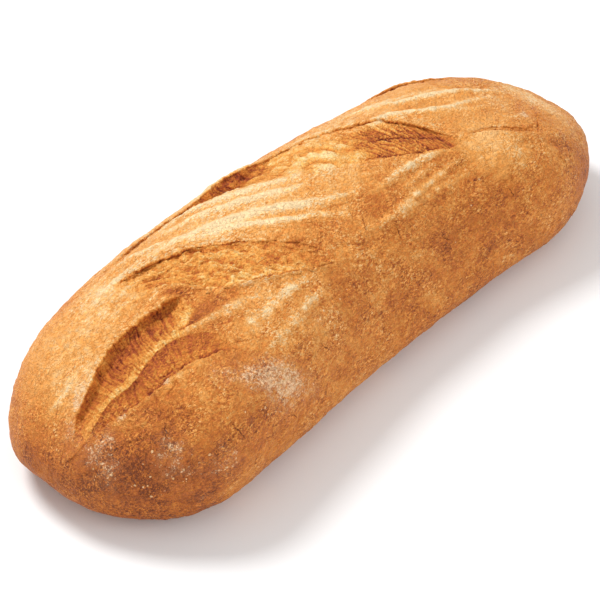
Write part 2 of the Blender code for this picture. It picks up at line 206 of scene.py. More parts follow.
# Each slash: where it starts and ends in mm along, over how far it opens, then its sizes in mm as
# (mm along, size), zero where none is given. Its tones, how deep its colour is baked, and how torn it
# is are rows of (mm along, values at the table's shares from its lip to its edge).
tableShares = [0, .05, .15, .3, .5, .75, .92, 1]
slashes = dict(
    band=dict(
        start=-184, end=-97, ramp=(6, 14), lensFull=6, coarse=.5,
        depth=[(-184, 0), (-174, .9), (-160, 1.4), (-140, 1.7), (-118, 1.8), (-106, 1.4), (-97, 0)],
        step=[(-184, 0), (-165, .3), (-130, .5), (-110, .5), (-97, 0)],
        crest=[(-184, 0), (-150, .6), (-115, .6), (-97, 0)],
        ear=[(-184, 0), (-165, .4), (-130, .5), (-97, .2)],
        tones=[(-184, (.35, .45, .5, .5, .5, .5, .5, .5)), (-165, (.34, .6, .64, .62, .56, .5, .58, .4)),
               (-130, (.34, .7, .72, .66, .54, .44, .58, .35)),
               (-97, (.35, .5, .6, .6, .55, .5, .5, .4))],
        torn=[(-184, (.3, .3, .3, .3, .3, .3, .3, .1)), (-165, (1, .8, .7, .7, .8, .9, 1, .5)),
              (-110, (1, .8, .7, .7, .8, .9, 1, .5)), (-97, (.3, .3, .3, .3, .3, .3, .2, .1))]),
    near=dict(
        start=-184, end=-93, ramp=(5, 12), lensFull=9, coarse=1,
        depth=[(-184, 0), (-176, 2.4), (-165, 4.4), (-145, 5.4), (-125, 5.4), (-112, 5.8), (-105, 5.6),
               (-99, 2.6), (-93, 0)],
        under=[(-184, 0), (-170, -.8), (-150, -1.6), (-125, -1.2), (-112, .4), (-105, 1.6), (-98, .5),
               (-93, 0)],
        over=[(-184, 0), (-170, .4), (-125, .6), (-104, .8), (-93, 0)],
        thick=[(-184, .2), (-170, .5), (-140, .7), (-104, .8), (-93, .3)],
        crest=[(-184, .2), (-165, .8), (-140, 1), (-115, .8), (-100, .8), (-93, 0)],
        ear=[(-184, .2), (-168, .9), (-150, 1.4), (-125, .9), (-108, 1.4), (-93, 0)],
        shelf=[(-184, 0), (-170, 1), (-150, 1.8), (-125, 2), (-110, 1.8), (-100, .7), (-93, 0)],
        tones=[(-184, (.45, .5, .45, .42, .4, .34, .26, .22)),
               (-165, (.3, .5, .5, .52, .48, .36, .24, .2)),
               (-145, (.3, .48, .48, .62, .62, .46, .24, .2)),
               (-125, (.3, .54, .56, .66, .6, .42, .24, .18)),
               (-108, (.34, .6, .6, .64, .56, .38, .22, .16)),
               (-93, (.35, .45, .45, .4, .36, .34, .3, .26))],
        torn=[(-184, (.1, .5, .5, .5, .5, .5, .5, .5)), (-170, (.2, 1, 1, 1, 1, 1, 1, 1)),
              (-100, (.2, 1, 1, 1, 1, 1, 1, 1)), (-93, (0, .2, .2, .2, .2, .2, .2, .2))]),
    second=dict(
        start=-116, end=0, ramp=(14, 24), lensFull=9, coarse=1,
        depth=[(-116, 0), (-104, 1.6), (-92, 2.3), (-80, 2.1), (-68, 1.6), (-54, 1.3), (-35, 1),
               (-24, .7), (-10, .4), (0, 0)],
        under=[(-116, 0), (-100, .2), (-86, .7), (-76, .4), (-64, -1.2), (-48, -2.4), (-20, -2.4),
               (0, 0)],
        over=[(-116, 0), (-100, .4), (-84, .9), (-66, .3), (-50, 0), (0, 0)],
        thick=[(-116, 0), (-100, .7), (-84, .9), (-66, .4), (-40, .1), (0, 0)],
        step=[(-116, 0), (-95, .2), (-40, .1), (-15, .2), (0, 0)],
        crest=[(-116, 0), (-95, 1.1), (-60, 1.4), (-30, 1.1), (-10, .6), (0, 0)],
        ear=[(-116, 0), (-100, .8), (-84, .9), (-66, .4), (-50, .3), (-20, .2), (0, 0)],
        shelf=[(-116, 0), (-95, .3), (-84, .9), (-66, .9), (-50, .7), (0, 0)],
        tones=[(-116, (.4, .4, .35, .3, .3, .3, .25, .25)), (-100, (.4, .5, .4, .26, .3, .34, .26, .16)),
               (-82, (.42, .56, .46, .26, .24, .32, .16, .06)),
               (-66, (.42, .52, .38, .22, .22, .32, .14, .04)),
               (-48, (.4, .4, .32, .3, .32, .34, .26, .16)), (0, (.35, .35, .35, .35, .35, .35, .35, .3))],
        torn=[(-116, (.1, .4, .5, .5, .5, .5, .4, .3)), (-100, (.2, .9, .9, .6, .7, .9, .9, .8)),
              (-60, (.2, .9, .9, .8, .8, .9, 1, .9)), (-40, (.1, .4, .4, .4, .4, .5, .6, .5)),
              (-15, (0, .1, .1, .1, .1, .1, .3, .2)), (0, (0, 0, 0, 0, 0, 0, 0, 0))]),
    third=dict(
        start=-99, end=142, ramp=(10, 20), lensFull=8, coarse=1,
        depth=[(-99, 0), (-90, 1), (-70, 1.2), (-50, 1.3), (-40, 1.8), (-30, 3.6), (-17, 4.2), (-7, 3),
               (2, 1.4), (14, .9), (28, 1.1), (38, 2), (50, 2.9), (62, 3.4), (74, 3.2), (83, 1.6),
               (100, 1.1), (120, .9), (135, .4), (142, 0)],
        under=[(-99, 0), (-80, .3), (-50, .2), (-38, -.6), (-17, -1.4), (-6, -.8), (4, .2), (20, 0),
               (35, -.6), (50, -.2), (66, .8), (76, 1.4), (84, .6), (100, .3), (142, 0)],
        over=[(-99, .2), (-46, .2), (-34, -.8), (-17, -1.3), (-6, -.7), (4, .2), (15, .4), (50, .6),
              (75, .7), (90, .2), (142, 0)],
        thick=[(-99, .2), (-80, .4), (-40, .4), (-20, .55), (0, .5), (14, .45), (32, .45), (60, .8),
               (80, .5), (142, .1)],
        step=[(-99, 0), (-80, .6), (-40, .4), (0, .2), (30, .3), (60, .7), (80, .5), (100, 0), (142, 0)],
        crest=[(-99, 0), (-40, .4), (0, .2), (60, .4), (82, 1), (100, 1.4), (118, 1.1), (135, .4),
               (142, 0)],
        ear=[(-99, .2), (-84, .8), (-60, .3), (-46, .4), (-37, 1.3), (-27, 2.8), (-17, 3.6), (-8, 2.8),
             (0, 1.5), (8, .8), (18, .6), (40, .8), (60, 1), (72, .7), (82, .2), (142, 0)],
        shelf=[(-99, 0), (-40, .2), (-28, .1), (-15, .2), (-4, .5), (6, .5), (20, .5), (38, 1.3),
               (50, 2.2), (62, 2.6), (72, 2), (80, .5), (90, 0), (142, 0)],
        tones=[(-99, (.4, .4, .3, .25, .2, .2, .2, .2)), (-46, (.4, .45, .35, .25, .18, .15, .15, .1)),
               (-34, (.3, .6, .56, .5, .3, .18, .15, .1)), (-17, (.3, .7, .66, .62, .4, .2, .15, .1)),
               (-7, (.3, .7, .66, .6, .36, .18, .15, .1)), (3, (.4, .55, .3, .16, .14, .16, .12, .1)),
               (25, (.5, .6, .16, .12, .2, .24, .22, .2)), (38, (.5, .62, .14, .14, .5, .5, .48, .26)),
               (60, (.5, .62, .16, .2, .58, .56, .6, .3)), (74, (.5, .6, .26, .4, .62, .64, .7, .36)),
               (84, (.4, .5, .5, .5, .5, .5, .4, .3)), (142, (.4, .4, .4, .4, .4, .4, .4, .4))],
        torn=[(-99, (0, 0, 0, 0, 0, 0, 0, 0)), (-46, (.1, .5, .5, .4, .4, .3, .2, .1)),
              (-32, (.1, 1, 1, 1, .8, .4, .3, .2)), (-5, (.1, 1, 1, 1, .8, .5, .3, .2)),
              (10, (.2, .7, .6, .7, .8, .8, .7, .6)), (28, (.2, .6, .25, .4, .8, .8, .7, .5)),
              (40, (.2, .7, .1, .15, 1, 1, .9, .3)), (74, (.2, .7, .2, .4, 1, 1, 1, .3)),
              (88, (0, .2, .2, .2, .2, .2, .2, .1)), (142, (0, 0, 0, 0, 0, 0, 0, 0))]),
    far=dict(
        start=60, end=136, ramp=(12, 12), lensFull=7, coarse=1,
        depth=[(60, 0), (80, 1.8), (108, 2.6), (125, 1.6), (136, 0)],
        under=[(60, 0), (108, 1.4), (136, 0)], over=[(60, 0), (108, .9), (136, 0)],
        thick=[(60, 0), (108, 1.1), (136, 0)], step=[(60, 0), (100, .5), (136, 0)],
        crest=[(60, 0), (100, .2), (136, 0)], ear=[(60, 0), (90, 1), (108, 2), (136, 0)],
        tones=[(60, (.4, .6, .6, .5, .45, .4, .35, .3)), (136, (.4, .65, .65, .5, .45, .4, .35, .3))],
        torn=[(60, (0, 0, 0, 0, 0, 0, 0, 0)), (80, (.2, .8, .8, .8, .8, .7, .5, .2)),
              (120, (.2, .8, .8, .8, .8, .7, .5, .2)), (136, (0, 0, 0, 0, 0, 0, 0, 0))]),
)
sizeNames = ("depth", "under", "over", "thick", "step", "crest", "ear", "shelf")
noSize = [(0, 0), (1, 0)]

# Section of a torn bed from its lip to its outer edge: share of the columns, then how much of each
# size goes into the place across and into the height there
tornBed = dict(
    share=[0, .03, .06, .12, .20, .28, .40, .55, .72, .93, 1],
    across=dict(cross=[0, 0, 0, .01, .03, .10, .22, .44, .70, .96, 1],
                over=[1, 1, 1, .4, 0, 0, 0, 0, 0, 0, 0],
                under=[0, 0, 0, -.4, -1, -.7, -.1, 0, 0, 0, 0],
                thick=[0, .5, .2, 0, 0, 0, 0, 0, 0, 0, 0]),
    height=dict(ear=[1, 1, 1, .3, 0, 0, 0, 0, 0, 0, 0],
                thick=[0, -.35, -.95, -.8, 0, 0, 0, 0, 0, 0, 0],
                depth=[0, 0, 0, -.34, -.72, -.94, -1, -.72, -.36, -.04, 0],
                shelf=[0, 0, 0, .34, .72, .94, .9, .15, 0, 0, 0],
                step=[0, 0, 0, 0, 0, 0, 0, 0, -.4, -.8, 0],
                crest=[0, 0, 0, 0, 0, 0, 0, 0, 0, .5, 1]))
shallowBed = dict(
    share=[0, .08, .2, .35, .5, .65, .8, .93, 1],
    across=dict(cross=[0, .05, .15, .3, .46, .62, .79, .95, 1]),
    height=dict(ear=[1, .8, .3, 0, 0, 0, 0, 0, 0], depth=[0, -.15, -.4, -.65, -.85, -1, -.95, -.5, 0],
                step=[0, 0, 0, 0, 0, -.2, -.7, -1, 0], crest=[0, 0, 0, 0, 0, 0, 0, .3, 1]))
# How many mm each sinks back over, and where it ends
lipReach = dict(ear=8.0, lean=4.0, crest=3.0, behind=30, front=15)
steepest = dict(stretch=6.0, slant=2.4)              # most slope of a rail that is allowed for
# How much more the crust under a tear's own sheet is sunk, in mm, and the share of its lip left out
sunkUnder = dict(more=dict(depth=1.6, under=0.8, over=-0.5, crest=-0.7, ear=-0.5), thinner=0.5)


def railClocks(x, ragged=1.0):
    # every rail's clock at each place along, in radians, lowest first, kept a degree apart; torn lips
    # wander by noise of two sizes
    s = raggedRails
    clocks, floor = {}, -np.pi
    for index, (name, points) in enumerate(rails.items()):
        wide = np.stack([x / s["wideSize"], 0 * x, 0 * x + 3.3 * index], axis=-1)
        fine = np.stack([x / s["fineSize"], 0 * x + 7.7, 0 * x + 3.3 * index], axis=-1)
        wander = s["wide"] * latticeNoise(wide, 5) + s["fine"] * latticeNoise(fine, 6)
        clock = np.radians(smoothSteps(x, points) + ragged * s["calmer"].get(name, 1.0) * wander)
        clocks[name] = floor = np.maximum(clock, floor + np.radians(1.0))
    return clocks


def slashSizes(name, x, sunk):
    # sizes of one slash at each place along, in metres: they fade to nothing at its ends and where
    # its rails run close together. Where it slants, distances across it are shortened to suit.
    slash = slashes[name]
    along = x * mm / halfLength
    smooth, clocks = railClocks(x, 0.0), railClocks(x)
    edgeName, lipName = strips[name]
    lip, edge = clocks[lipName], clocks[edgeName]
    arc = metresPerRadian(along, (smooth[lipName] + smooth[edgeName]) / 2)
    run = np.gradient(smooth[lipName], x * mm) * arc
    stretch = np.sqrt(1 + np.minimum(run ** 2, steepest["stretch"]))
    cross = (lip - edge) * arc / stretch
    start, end = slash["ramp"]
    window = easeStep((x - slash["start"]) / start) * easeStep((slash["end"] - x) / end)
    full = window * easeStep(cross / mm / slash["lensFull"])
    sizes = {key: smoothSteps(x, slash.get(key, noSize)) * mm * full for key in sizeNames}
    if sunk:
        for key, more in sunkUnder["more"].items():
            sizes[key] = sizes[key] + more * mm * full
        sizes["thick"] = sizes["thick"] * (1 - sunkUnder["thinner"] * full)
    sizes.update(cross=cross, full=full, lip=lip, edge=edge, scale=(arc / stretch)[:, None],
                 slant=np.clip(run, -steepest["slant"], steepest["slant"]) / stretch)
    return sizes


def bedColumns(sizes, section, shares):
    # clock and height across a bed: the sum of its sizes by its section, eased to even columns where
    # the slash has closed
    basis = np.stack([smoothSteps(shares, list(zip(section["share"], row)))
                      for row in np.eye(len(section["share"]))])
    across, height = (sum(sizes[key][:, None] * np.array(row)
                          for key, row in section[kind].items()) @ basis
                      for kind in ("across", "height"))
    full, cross = sizes["full"][:, None], sizes["cross"][:, None]
    across = across * full + shares * cross * (1 - full)
    lip, edge = sizes["lip"][:, None], sizes["edge"][:, None]
    return lip + (edge - lip) * across / cross, height


def slashedGrid(x, spec, sunk):
    # clock and height of every column at each place along: plain strips have even columns, and a
    # bed's follow its section. Behind a lip the ear sinks back and leans over the bed; outside an
    # edge its crest sinks back.
    clocks = railClocks(x)
    clocks[None] = np.pi + 0 * x
    allSizes = {name: slashSizes(name, x, sunk) for name in slashes}
    parts = []
    for name, places in spec:
        low, high = strips[name]
        if name in slashes:
            section = shallowBed if name == "band" else tornBed
            clock, height = bedColumns(allSizes[name], section, 1 - places)
        else:
            lowClock = -clocks[None] if low is None else clocks[low]
            clock = lowClock[:, None] + (clocks[high] - lowClock)[:, None] * places
            height = 0 * clock
        parts.append((clock, height, np.full(len(places), stripOrder.index(name)), 1 - places))
    plain, height, number, share = (np.concatenate(part, axis=-1) for part in zip(*parts))
    lean = np.zeros_like(plain)
    for name, sizes in allSizes.items():
        place, scale = stripOrder.index(name), sizes["scale"]
        behind = (plain - sizes["lip"][:, None]) * scale / mm
        above = (number > place) & (behind < lipReach["behind"])
        behind = np.maximum(behind, 0)
        height += np.where(above, sizes["ear"][:, None] * bell(behind, lipReach["ear"]), 0)
        leaning = sizes["over"][:, None] * bell(behind, lipReach["lean"]) / scale
        lean -= np.where(above, leaning, 0)
        front = (sizes["edge"][:, None] - plain) * scale / mm
        below = (number < place) & (front < lipReach["front"])
        crest = sizes["crest"][:, None] * bell(np.maximum(front, 0), lipReach["crest"])
        height += np.where(below, crest, 0)
    return dict(clock=plain + lean, height=height, number=number, share=share, sizes=allSizes)


def loafGrid(x, spec, sunk=False):
    # the slashed grid on the untorn form, with its normals and the whole relief along them
    grid = slashedGrid(x, spec, sunk)
    along = x * mm / halfLength
    places = np.broadcast_to(along[:, None], grid["clock"].shape)
    untorn = untornForm(places, grid["clock"])
    ridge, ridgeFlour = ridgeRelief(untorn)
    low = grid["height"] + ridge
    return dict(grid, x=x, along=along, untorn=untorn, low=low, ridgeFlour=ridgeFlour,
                normals=outwardNormals(places, grid["clock"]), relief=low + crustHeave(untorn))


# Low ridges of stretched crust and the creases between them: points, mm of height, mm of half width,
# share of flour caught on top
ridges = [
    ([(-120, -21), (-108, -26), (-89, -29), (-78, -32)], 2.0, 1.9, .9),
    ([(-105, -24), (-93, -28), (-79, -30), (-66, -35)], .7, 2.2, .5),
    ([(-94, -41), (-77, -41), (-59, -40), (-46, -41)], 1.4, 2.2, .9),
    ([(-89, -54), (-72, -53), (-53, -50), (-40, -50)], 1.2, 2.4, .8),
    ([(72, -22), (58, -20), (44, -19), (30, -20), (16, -21)], 1.8, 2.0, .8),
    ([(74, -32), (58, -33), (41, -35), (18, -38), (2, -41)], 1.3, 2.2, .8),
    ([(79, -42), (56, -40), (31, -40), (8, -38), (-12, -35)], 1.0, 2.4, .5),
    ([(64, -26), (47, -27), (28, -30)], .8, 2.0, .4),
    ([(38, 26), (56, 22), (75, 18), (101, 4), (137, -1)], 1.6, 2.2, .8),
    ([(67, 39), (80, 31), (95, 23), (123, 11), (144, 2)], 1.5, 2.4, .8),
    ([(52, 44), (72, 38), (90, 32), (112, 22)], .8, 2.2, .4),
    ([(90, 8), (108, -4), (126, -10)], .9, 2.0, .3),
    ([(-86, 38), (-61, 27), (-38, 15), (-18, -2), (0, -14)], 2.0, 3.0, .9),
    ([(-74, 46), (-50, 36), (-26, 22), (-6, 8)], 1.5, 2.6, .7),
    ([(-70, 52), (-46, 44), (-22, 30), (0, 14)], 1.2, 2.4, .6),
    ([(-73, 29), (-51, 15), (-32, -3), (-15, -14), (-3, -21)], 1.5, 2.4, .8),
    ([(-30, 12), (-8, -6), (14, -16)], 1.1, 2.4, .5),
    ([(-118, 30), (-110, 28), (-102, 27), (-95, 24), (-89, 19)], 1.2, 2.4, .3),
    ([(-124, 38), (-112, 38), (-102, 39), (-92, 38)], 1.0, 2.2, .3),
    ([(-126, 20), (-115, 19), (-105, 17), (-97, 12)], .8, 2.0, .2),
    ([(-104, 50), (-92, 46), (-80, 40), (-68, 32)], 1.0, 2.2, .4),
    ([(-176, 18), (-166, 14), (-156, 14)], .6, 2.2, .5),
    ([(-117, 8.5), (-109, 9), (-101, 7.5), (-94, 3)], .3, .9, .5),
]
# Their wander and ragged edges, sizes in mm, and how far they and their flour reach, in half widths
ridgeEdge = dict(wander=0.35, wanderSize=7.0, ragged=0.22, raggedSize=3.0, reach=3.2, ends=0.6,
                 patches=0.6, flourWidth=0.8, flourRange=(0.2, 1.4))
pillow = dict(place=97, clock=-38, height=3.2, spread=17.0)
crustRelief = dict(heave=0.4, heaveSize=38.0, dimple=0.32, dimpleSize=9.0, grain=0.08, grainSize=3.0)


def routePoints(points, count):
    # a smooth curve over the untorn crust through (mm along, clock degrees) points
    along, clock = np.array(points, dtype=float).T
    place = np.linspace(0, len(points) - 1, count)
    along, clock = (smoothSteps(place, list(enumerate(values))) for values in (along, clock))
    return along * mm / halfLength, np.radians(clock)


def nearLine(places, points, count, reach):
    # the route as a line of points, and which places lie in the box that reaches round it
    line = untornForm(*routePoints(points, count))
    low, high = line.min(axis=0) - reach, line.max(axis=0) + reach
    return line, np.all((places > low) & (places < high), axis=-1)


def distanceTo(places, line, power):
    # distance from each place to the nearest chord of the line, and a share that falls to zero
    # towards the line's ends by a power of the sine
    best = np.full(len(places), np.inf)
    chord = np.zeros(len(places), dtype=int)
    for k in range(len(line) - 1):
        span = line[k + 1] - line[k]
        share = np.clip((places - line[k]) @ span / (span @ span), 0, 1)
        away = ((places - line[k] - share[:, None] * span) ** 2).sum(axis=1)
        nearer = away < best
        best = np.where(nearer, away, best)
        chord = np.where(nearer, k, chord)
    return np.sqrt(best), np.sin(np.pi * (chord + 0.5) / (len(line) - 1)) ** power


def ridgeRelief(places):
    # height of the ridges and creases at each place of the untorn crust, and the flour they catch
    s = ridgeEdge
    height, flour = np.zeros(places.shape[:-1]), np.zeros(places.shape[:-1])
    for number, (points, rise, halfWidth, dusted) in enumerate(ridges):
        halfWidth = halfWidth * mm
        line, near = nearLine(places, points, 40, s["reach"] * halfWidth)
        away, ends = distanceTo(places[near], line, s["ends"])
        wander = 1 + s["wander"] * latticeNoise(places[near] / (s["wanderSize"] * mm), 30 + number)
        fine = latticeNoise(places[near] / (s["raggedSize"] * mm), 60 + number)
        away = np.abs(away + s["ragged"] * halfWidth * fine)
        height[near] += rise * mm * ends * wander * bell(away, halfWidth)
        caught = dusted * ends * np.clip(1 - s["patches"] * fine, *s["flourRange"])
        flour[near] = np.maximum(flour[near], caught * bell(away, s["flourWidth"] * halfWidth))
    middle = untornForm(pillow["place"] * mm / halfLength, np.radians(pillow["clock"]))
    away = np.linalg.norm(places - middle, axis=-1)
    return height + pillow["height"] * mm * bell(away, pillow["spread"] * mm), flour


def crustHeave(places):
    # unevenness of the baked crust: slow heaves, dimples and a leathery grain
    s = crustRelief
    return mm * (s["heave"] * fractalNoise(places, s["heaveSize"] * mm, 1, 2)
                 + s["dimple"] * fractalNoise(places, s["dimpleSize"] * mm, 3, 3)
                 + s["grain"] * fractalNoise(places, s["grainSize"] * mm, 7, 2))


# How brown the crust is, 0 pale gold to 1 dark, and how floury: an even level, then soft spots as
# (mm along, clock degrees, mm of spread, more). The browning also holds painted shade and highlight:
# hollows of the relief are painted browner and raised places paler, and the crust is painted paler
# where it faces up, partly pale crust and partly painted highlight.
bakingAndShading = dict(
    level=0.49, crownPale=0.16, crownFrom=-0.2, underDark=0.10, uneven=0.03, unevenSize=45, shadedRelief=0.06,
    hollowMost=2, ridgePale=0.32,
    # Painted light among the spots: the pale ones along the far rim, 157 to 159 along, are painted
    # highlight, and the pale ones over the crown, on the pillow and along the low edge are partly paler
    # crust and partly painted light.
    spots=[(-178, -70, 34, .24), (-150, -84, 34, .12), (-186, 20, 26, .05), (70, -62, 40, .07),
           (130, -62, 34, .06), (172, -20, 24, -.04), (91, -30, 14, -.15), (-150, 34, 40, -.16),
           (-60, 44, 46, -.18), (4, -4, 15, -.10), (118, -86, 20, -.05), (-97, 0, 6, .24),
           (-150, 66, 22, -.05), (-106, 70, 20, -.05), (-184, -20, 14, .06), (-60, 72, 24, -.05),
           (-90, -8, 4, .12), (128, -12, 10, -.06), (-160, -8, 16, -.06), (-26, 22, 30, -.14),
           (70, 44, 46, -.17), (-168, 10, 18, -.08), (-116, 36, 20, -.08), (14, 26, 20, -.12),
           (-104, -19, 7, .28), (-93, -22, 7, .26), (-84, -25, 5, .16), (108, 20, 14, -.10),
           (133, -53, 4, .30), (140, -54, 4, .24), (157, 14, 13, -.22), (159, -16, 14, -.20),
           (157, -42, 12, -.18), (158, -64, 10, -.12), (-123, -94, 18, -.16), (-16, -25, 20, .05),
           (31, -28, 16, .05), (0, -58, 40, .03), (20, -96, 40, -.06), (-60, -100, 50, -.06),
           (120, -88, 40, -.05), (-112, 8, 5, .15), (-105, 6, 5, .22), (-99, 6, 4, .18)])
dustAndSheen = dict(
    level=0.11, uneven=0.20, unevenSize=30, onRidges=0.45, lessTorn=0.75, most=1.2,
    # The spots at 157 and 158 along, on the far rim, are painted sheen: flour colour standing for a pale
    # highlight.
    spots=[(-88, -73, 13, .9), (-99, -62, 12, .8), (-75, -84, 9, .5), (-125, -72, 14, .25),
           (-161, 1, 5, .9), (-153, 4, 4, .6), (-167, -6, 4, .7), (-108, -56, 8, .5),
           (-139, -79, 8, .5), (-13, -24, 8, .25), (-157, -64, 10, .5), (-160, -76, 12, .4),
           (-178, -65, 10, .5), (-161, -37, 2.4, 2), (-157, -35, 2.2, 2.2), (-148, -38, 2, 1.2),
           (-140, -38, 2.2, 1.4), (-137, -36, 2, 1.4), (-170, -43, 5, .5), (-176, -48, 9, .5),
           (-120, -50, 7, .5), (-60, -60, 14, .3), (-165, 20, 26, .12), (-176, -20, 9, .5),
           (-60, 44, 46, .15), (91, -30, 18, -.5), (108, -44, 14, -.3), (131, -27, 4, 1.2),
           (157, 12, 12, .4), (158, -16, 12, .4), (157, -42, 10, .35), (-20, 10, 40, -.1),
           (138, -17, 4, .6)])
# Where the skin is smoother than elsewhere, its grain and mottling weaker
smoothing = [(92, -32, 16, 1), (100, 36, 24, .8), (-8, 40, 14, .5), (110, -8, 14, .4), (-150, 36, 34, .7)]


def softSpots(untorn, spots):
    total = np.zeros(untorn.shape[:-1])
    for along, clock, spread, more in spots:
        middle = untornForm(along * mm / halfLength, np.radians(clock))
        total += more * bell(np.linalg.norm(untorn - middle, axis=-1), spread * mm)
    return total


def crustBakeAndShading(grid):
    # browner low down and underneath, paler on the crown, partly as painted highlight, and where spots say
    # so; painted shade in the relief's hollows and painted highlight on its raised places
    s, up = bakingAndShading, grid["normals"][..., 2]
    level = s["level"] - s["crownPale"] * np.clip(up, s["crownFrom"], 1) ** 2
    level += s["underDark"] * easeStep(-up)
    level += s["uneven"] * fractalNoise(grid["untorn"], s["unevenSize"] * mm, 21, 2)
    level += softSpots(grid["untorn"], s["spots"])
    raised = np.clip(grid["low"] / mm, -s["hollowMost"], s["hollowMost"])
    return level - s["shadedRelief"] * raised - s["ridgePale"] * grid["ridgeFlour"]


def crustFlourAndSheen(grid, torn=0.0):
    # an even dusting, uneven by noise, with soft spots and what the ridges catch; torn crumb holds less.
    # Along the far rim the spots are painted sheen, not flour.
    s = dustAndSheen
    level = s["level"] + s["uneven"] * fractalNoise(grid["untorn"], s["unevenSize"] * mm, 25, 3)
    level += softSpots(grid["untorn"], s["spots"]) + s["onRidges"] * grid["ridgeFlour"]
    return np.clip(level * (1 - s["lessTorn"] * torn), 0, s["most"])


def settled(points):
    # lets nothing reach below the flat base: heights ease to zero instead of crossing it
    z = points[..., 2]
    points[..., 2] = (z + np.sqrt(z ** 2 + loaf["baseRound"] ** 2)) / 2
    return points


def closedLoafFaces(rings, count):
    # quads between neighbouring rings, and a fan of triangles to each tip's own vertex
    ring, column = np.meshgrid(np.arange(rings - 1), np.arange(count), indexing="ij")
    after = (column + 1) % count
    quads = np.stack([ring * count + column, (ring + 1) * count + column, (ring + 1) * count + after,
                      ring * count + after], axis=-1).reshape(-1, 4)
    column, after = column[0], after[0]
    last, tips = (rings - 1) * count, 0 * column + rings * count
    near = np.stack([tips, column, after], axis=-1)
    far = np.stack([tips + 1, last + after, last + column], axis=-1)
    return quads, np.concatenate([near, far])


def sheetFaces(rows, count):
    row, column = np.meshgrid(np.arange(rows - 1), np.arange(count - 1), indexing="ij")
    first = row * count + column
    return np.stack([first, first + count, first + count + 1, first + 1], axis=-1).reshape(-1, 4)


def meshObject(name, points, quads, triangles, material, attributes, uv=None):
    # puts whole arrays into a new mesh object, smooth shaded, with its point attributes
    mesh = bpy.data.meshes.new(name)
    corners = np.concatenate([quads.ravel(), triangles.ravel()]).astype(np.int32)
    sides = np.concatenate([np.full(len(quads), 4), np.full(len(triangles), 3)])
    starts = np.concatenate([[0], np.cumsum(sides)[:-1]]).astype(np.int32)
    mesh.vertices.add(len(points))
    mesh.vertices.foreach_set("co", points.astype(np.float32).ravel())
    mesh.loops.add(len(corners))
    mesh.loops.foreach_set("vertex_index", corners)
    mesh.polygons.add(len(sides))
    mesh.polygons.foreach_set("loop_start", starts)
    mesh.polygons.foreach_set("use_smooth", np.ones(len(sides), dtype=bool))
    mesh.update(calc_edges=True)
    for key, values in attributes.items():
        layer = mesh.attributes.new(key, "FLOAT", "POINT")
        layer.data.foreach_set("value", values.astype(np.float32).ravel())
    if uv is not None:
        layer = mesh.uv_layers.new(name="UVMap")
        layer.data.foreach_set("uv", uv[corners].astype(np.float32).ravel())
    mesh.validate()
    mesh.materials.append(material)
    thing = bpy.data.objects.new(name, mesh)
    bpy.context.scene.collection.objects.link(thing)
    return thing


noTriangles = np.zeros((0, 3), dtype=int)


def addPiece(name, points, quads, attributes, triangles=noTriangles, uv=None):
    # a piece of the loaf, in the crust's finish
    piece = meshObject(name, points, quads, triangles, crustFinish, attributes, uv)
    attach(piece, "root")
    print(name + ":", 2 * len(quads) + len(triangles), "triangles")
    return piece


# Shader helpers and the effects that the finish is made of
def addNode(tree, kind, inputs=None, **settings):
    node = tree.nodes.new("ShaderNode" + kind)
    for key, value in settings.items():
        setattr(node, key, value)
    for key, value in (inputs or {}).items():
        if isinstance(value, bpy.types.NodeSocket):
            tree.links.new(value, node.inputs[key])
        else:
            node.inputs[key].default_value = value
    return node


def newGroup(name, inputs, outputs):
    group = bpy.data.node_groups.new(name, "ShaderNodeTree")
    for key, value in inputs.items():
        socket = group.interface.new_socket(name=key, in_out="INPUT", socket_type="NodeSocketFloat")
        socket.default_value = value
    for key in outputs:
        group.interface.new_socket(name=key, in_out="OUTPUT", socket_type="NodeSocketFloat")
    return group, group.nodes.new("NodeGroupInput"), group.nodes.new("NodeGroupOutput")


def objectNoise(tree, size, detail=3.0, roughness=0.6, distortion=0.0, vector=None):
    # noise of a size in mm, on the piece's own coordinates
    if vector is None:
        vector = addNode(tree, "TexCoord").outputs["Object"]
    return addNode(tree, "TexNoise", {"Vector": vector, "Scale": 1 / (size * mm), "Detail": detail,
                   "Roughness": roughness, "Distortion": distortion}).outputs["Fac"]


def remap(tree, value, low, high, toLow=0.0, toHigh=1.0):
    return addNode(tree, "MapRange", {"Value": value, "From Min": low, "From Max": high,
                   "To Min": toLow, "To Max": toHigh}).outputs["Result"]


def math(tree, operation, first, second=0.5, clamp=False):
    return addNode(tree, "Math", {0: first, 1: second}, operation=operation,
                   use_clamp=clamp).outputs["Value"]


def times(tree, first, second, clamp=False):
    return math(tree, "MULTIPLY", first, second, clamp)


def plus(tree, first, second, clamp=False):
    return math(tree, "ADD", first, second, clamp)


def colourRamp(tree, value, stops):
    ramp = addNode(tree, "ValToRGB", {"Fac": value})
    elements = ramp.color_ramp.elements
    while len(elements) < len(stops):
        elements.new(0.5)
    for element, (place, colour) in zip(elements, stops):
        element.position = place
        element.color = (*colour, 1.0)
    return ramp.outputs["Color"]


def mixColour(tree, factor, first, second):
    return addNode(tree, "Mix", {0: factor, 6: first, 7: second}, data_type="RGBA").outputs[2]


def thinLines(tree, size, width):
    # thin wandering lines where the noise crosses its middle
    away = math(tree, "ABSOLUTE", math(tree, "SUBTRACT", objectNoise(tree, size, 2.0, 0.6, 0.6), 0.5))
    return remap(tree, away, 0.0, width, 1.0, 0.0)


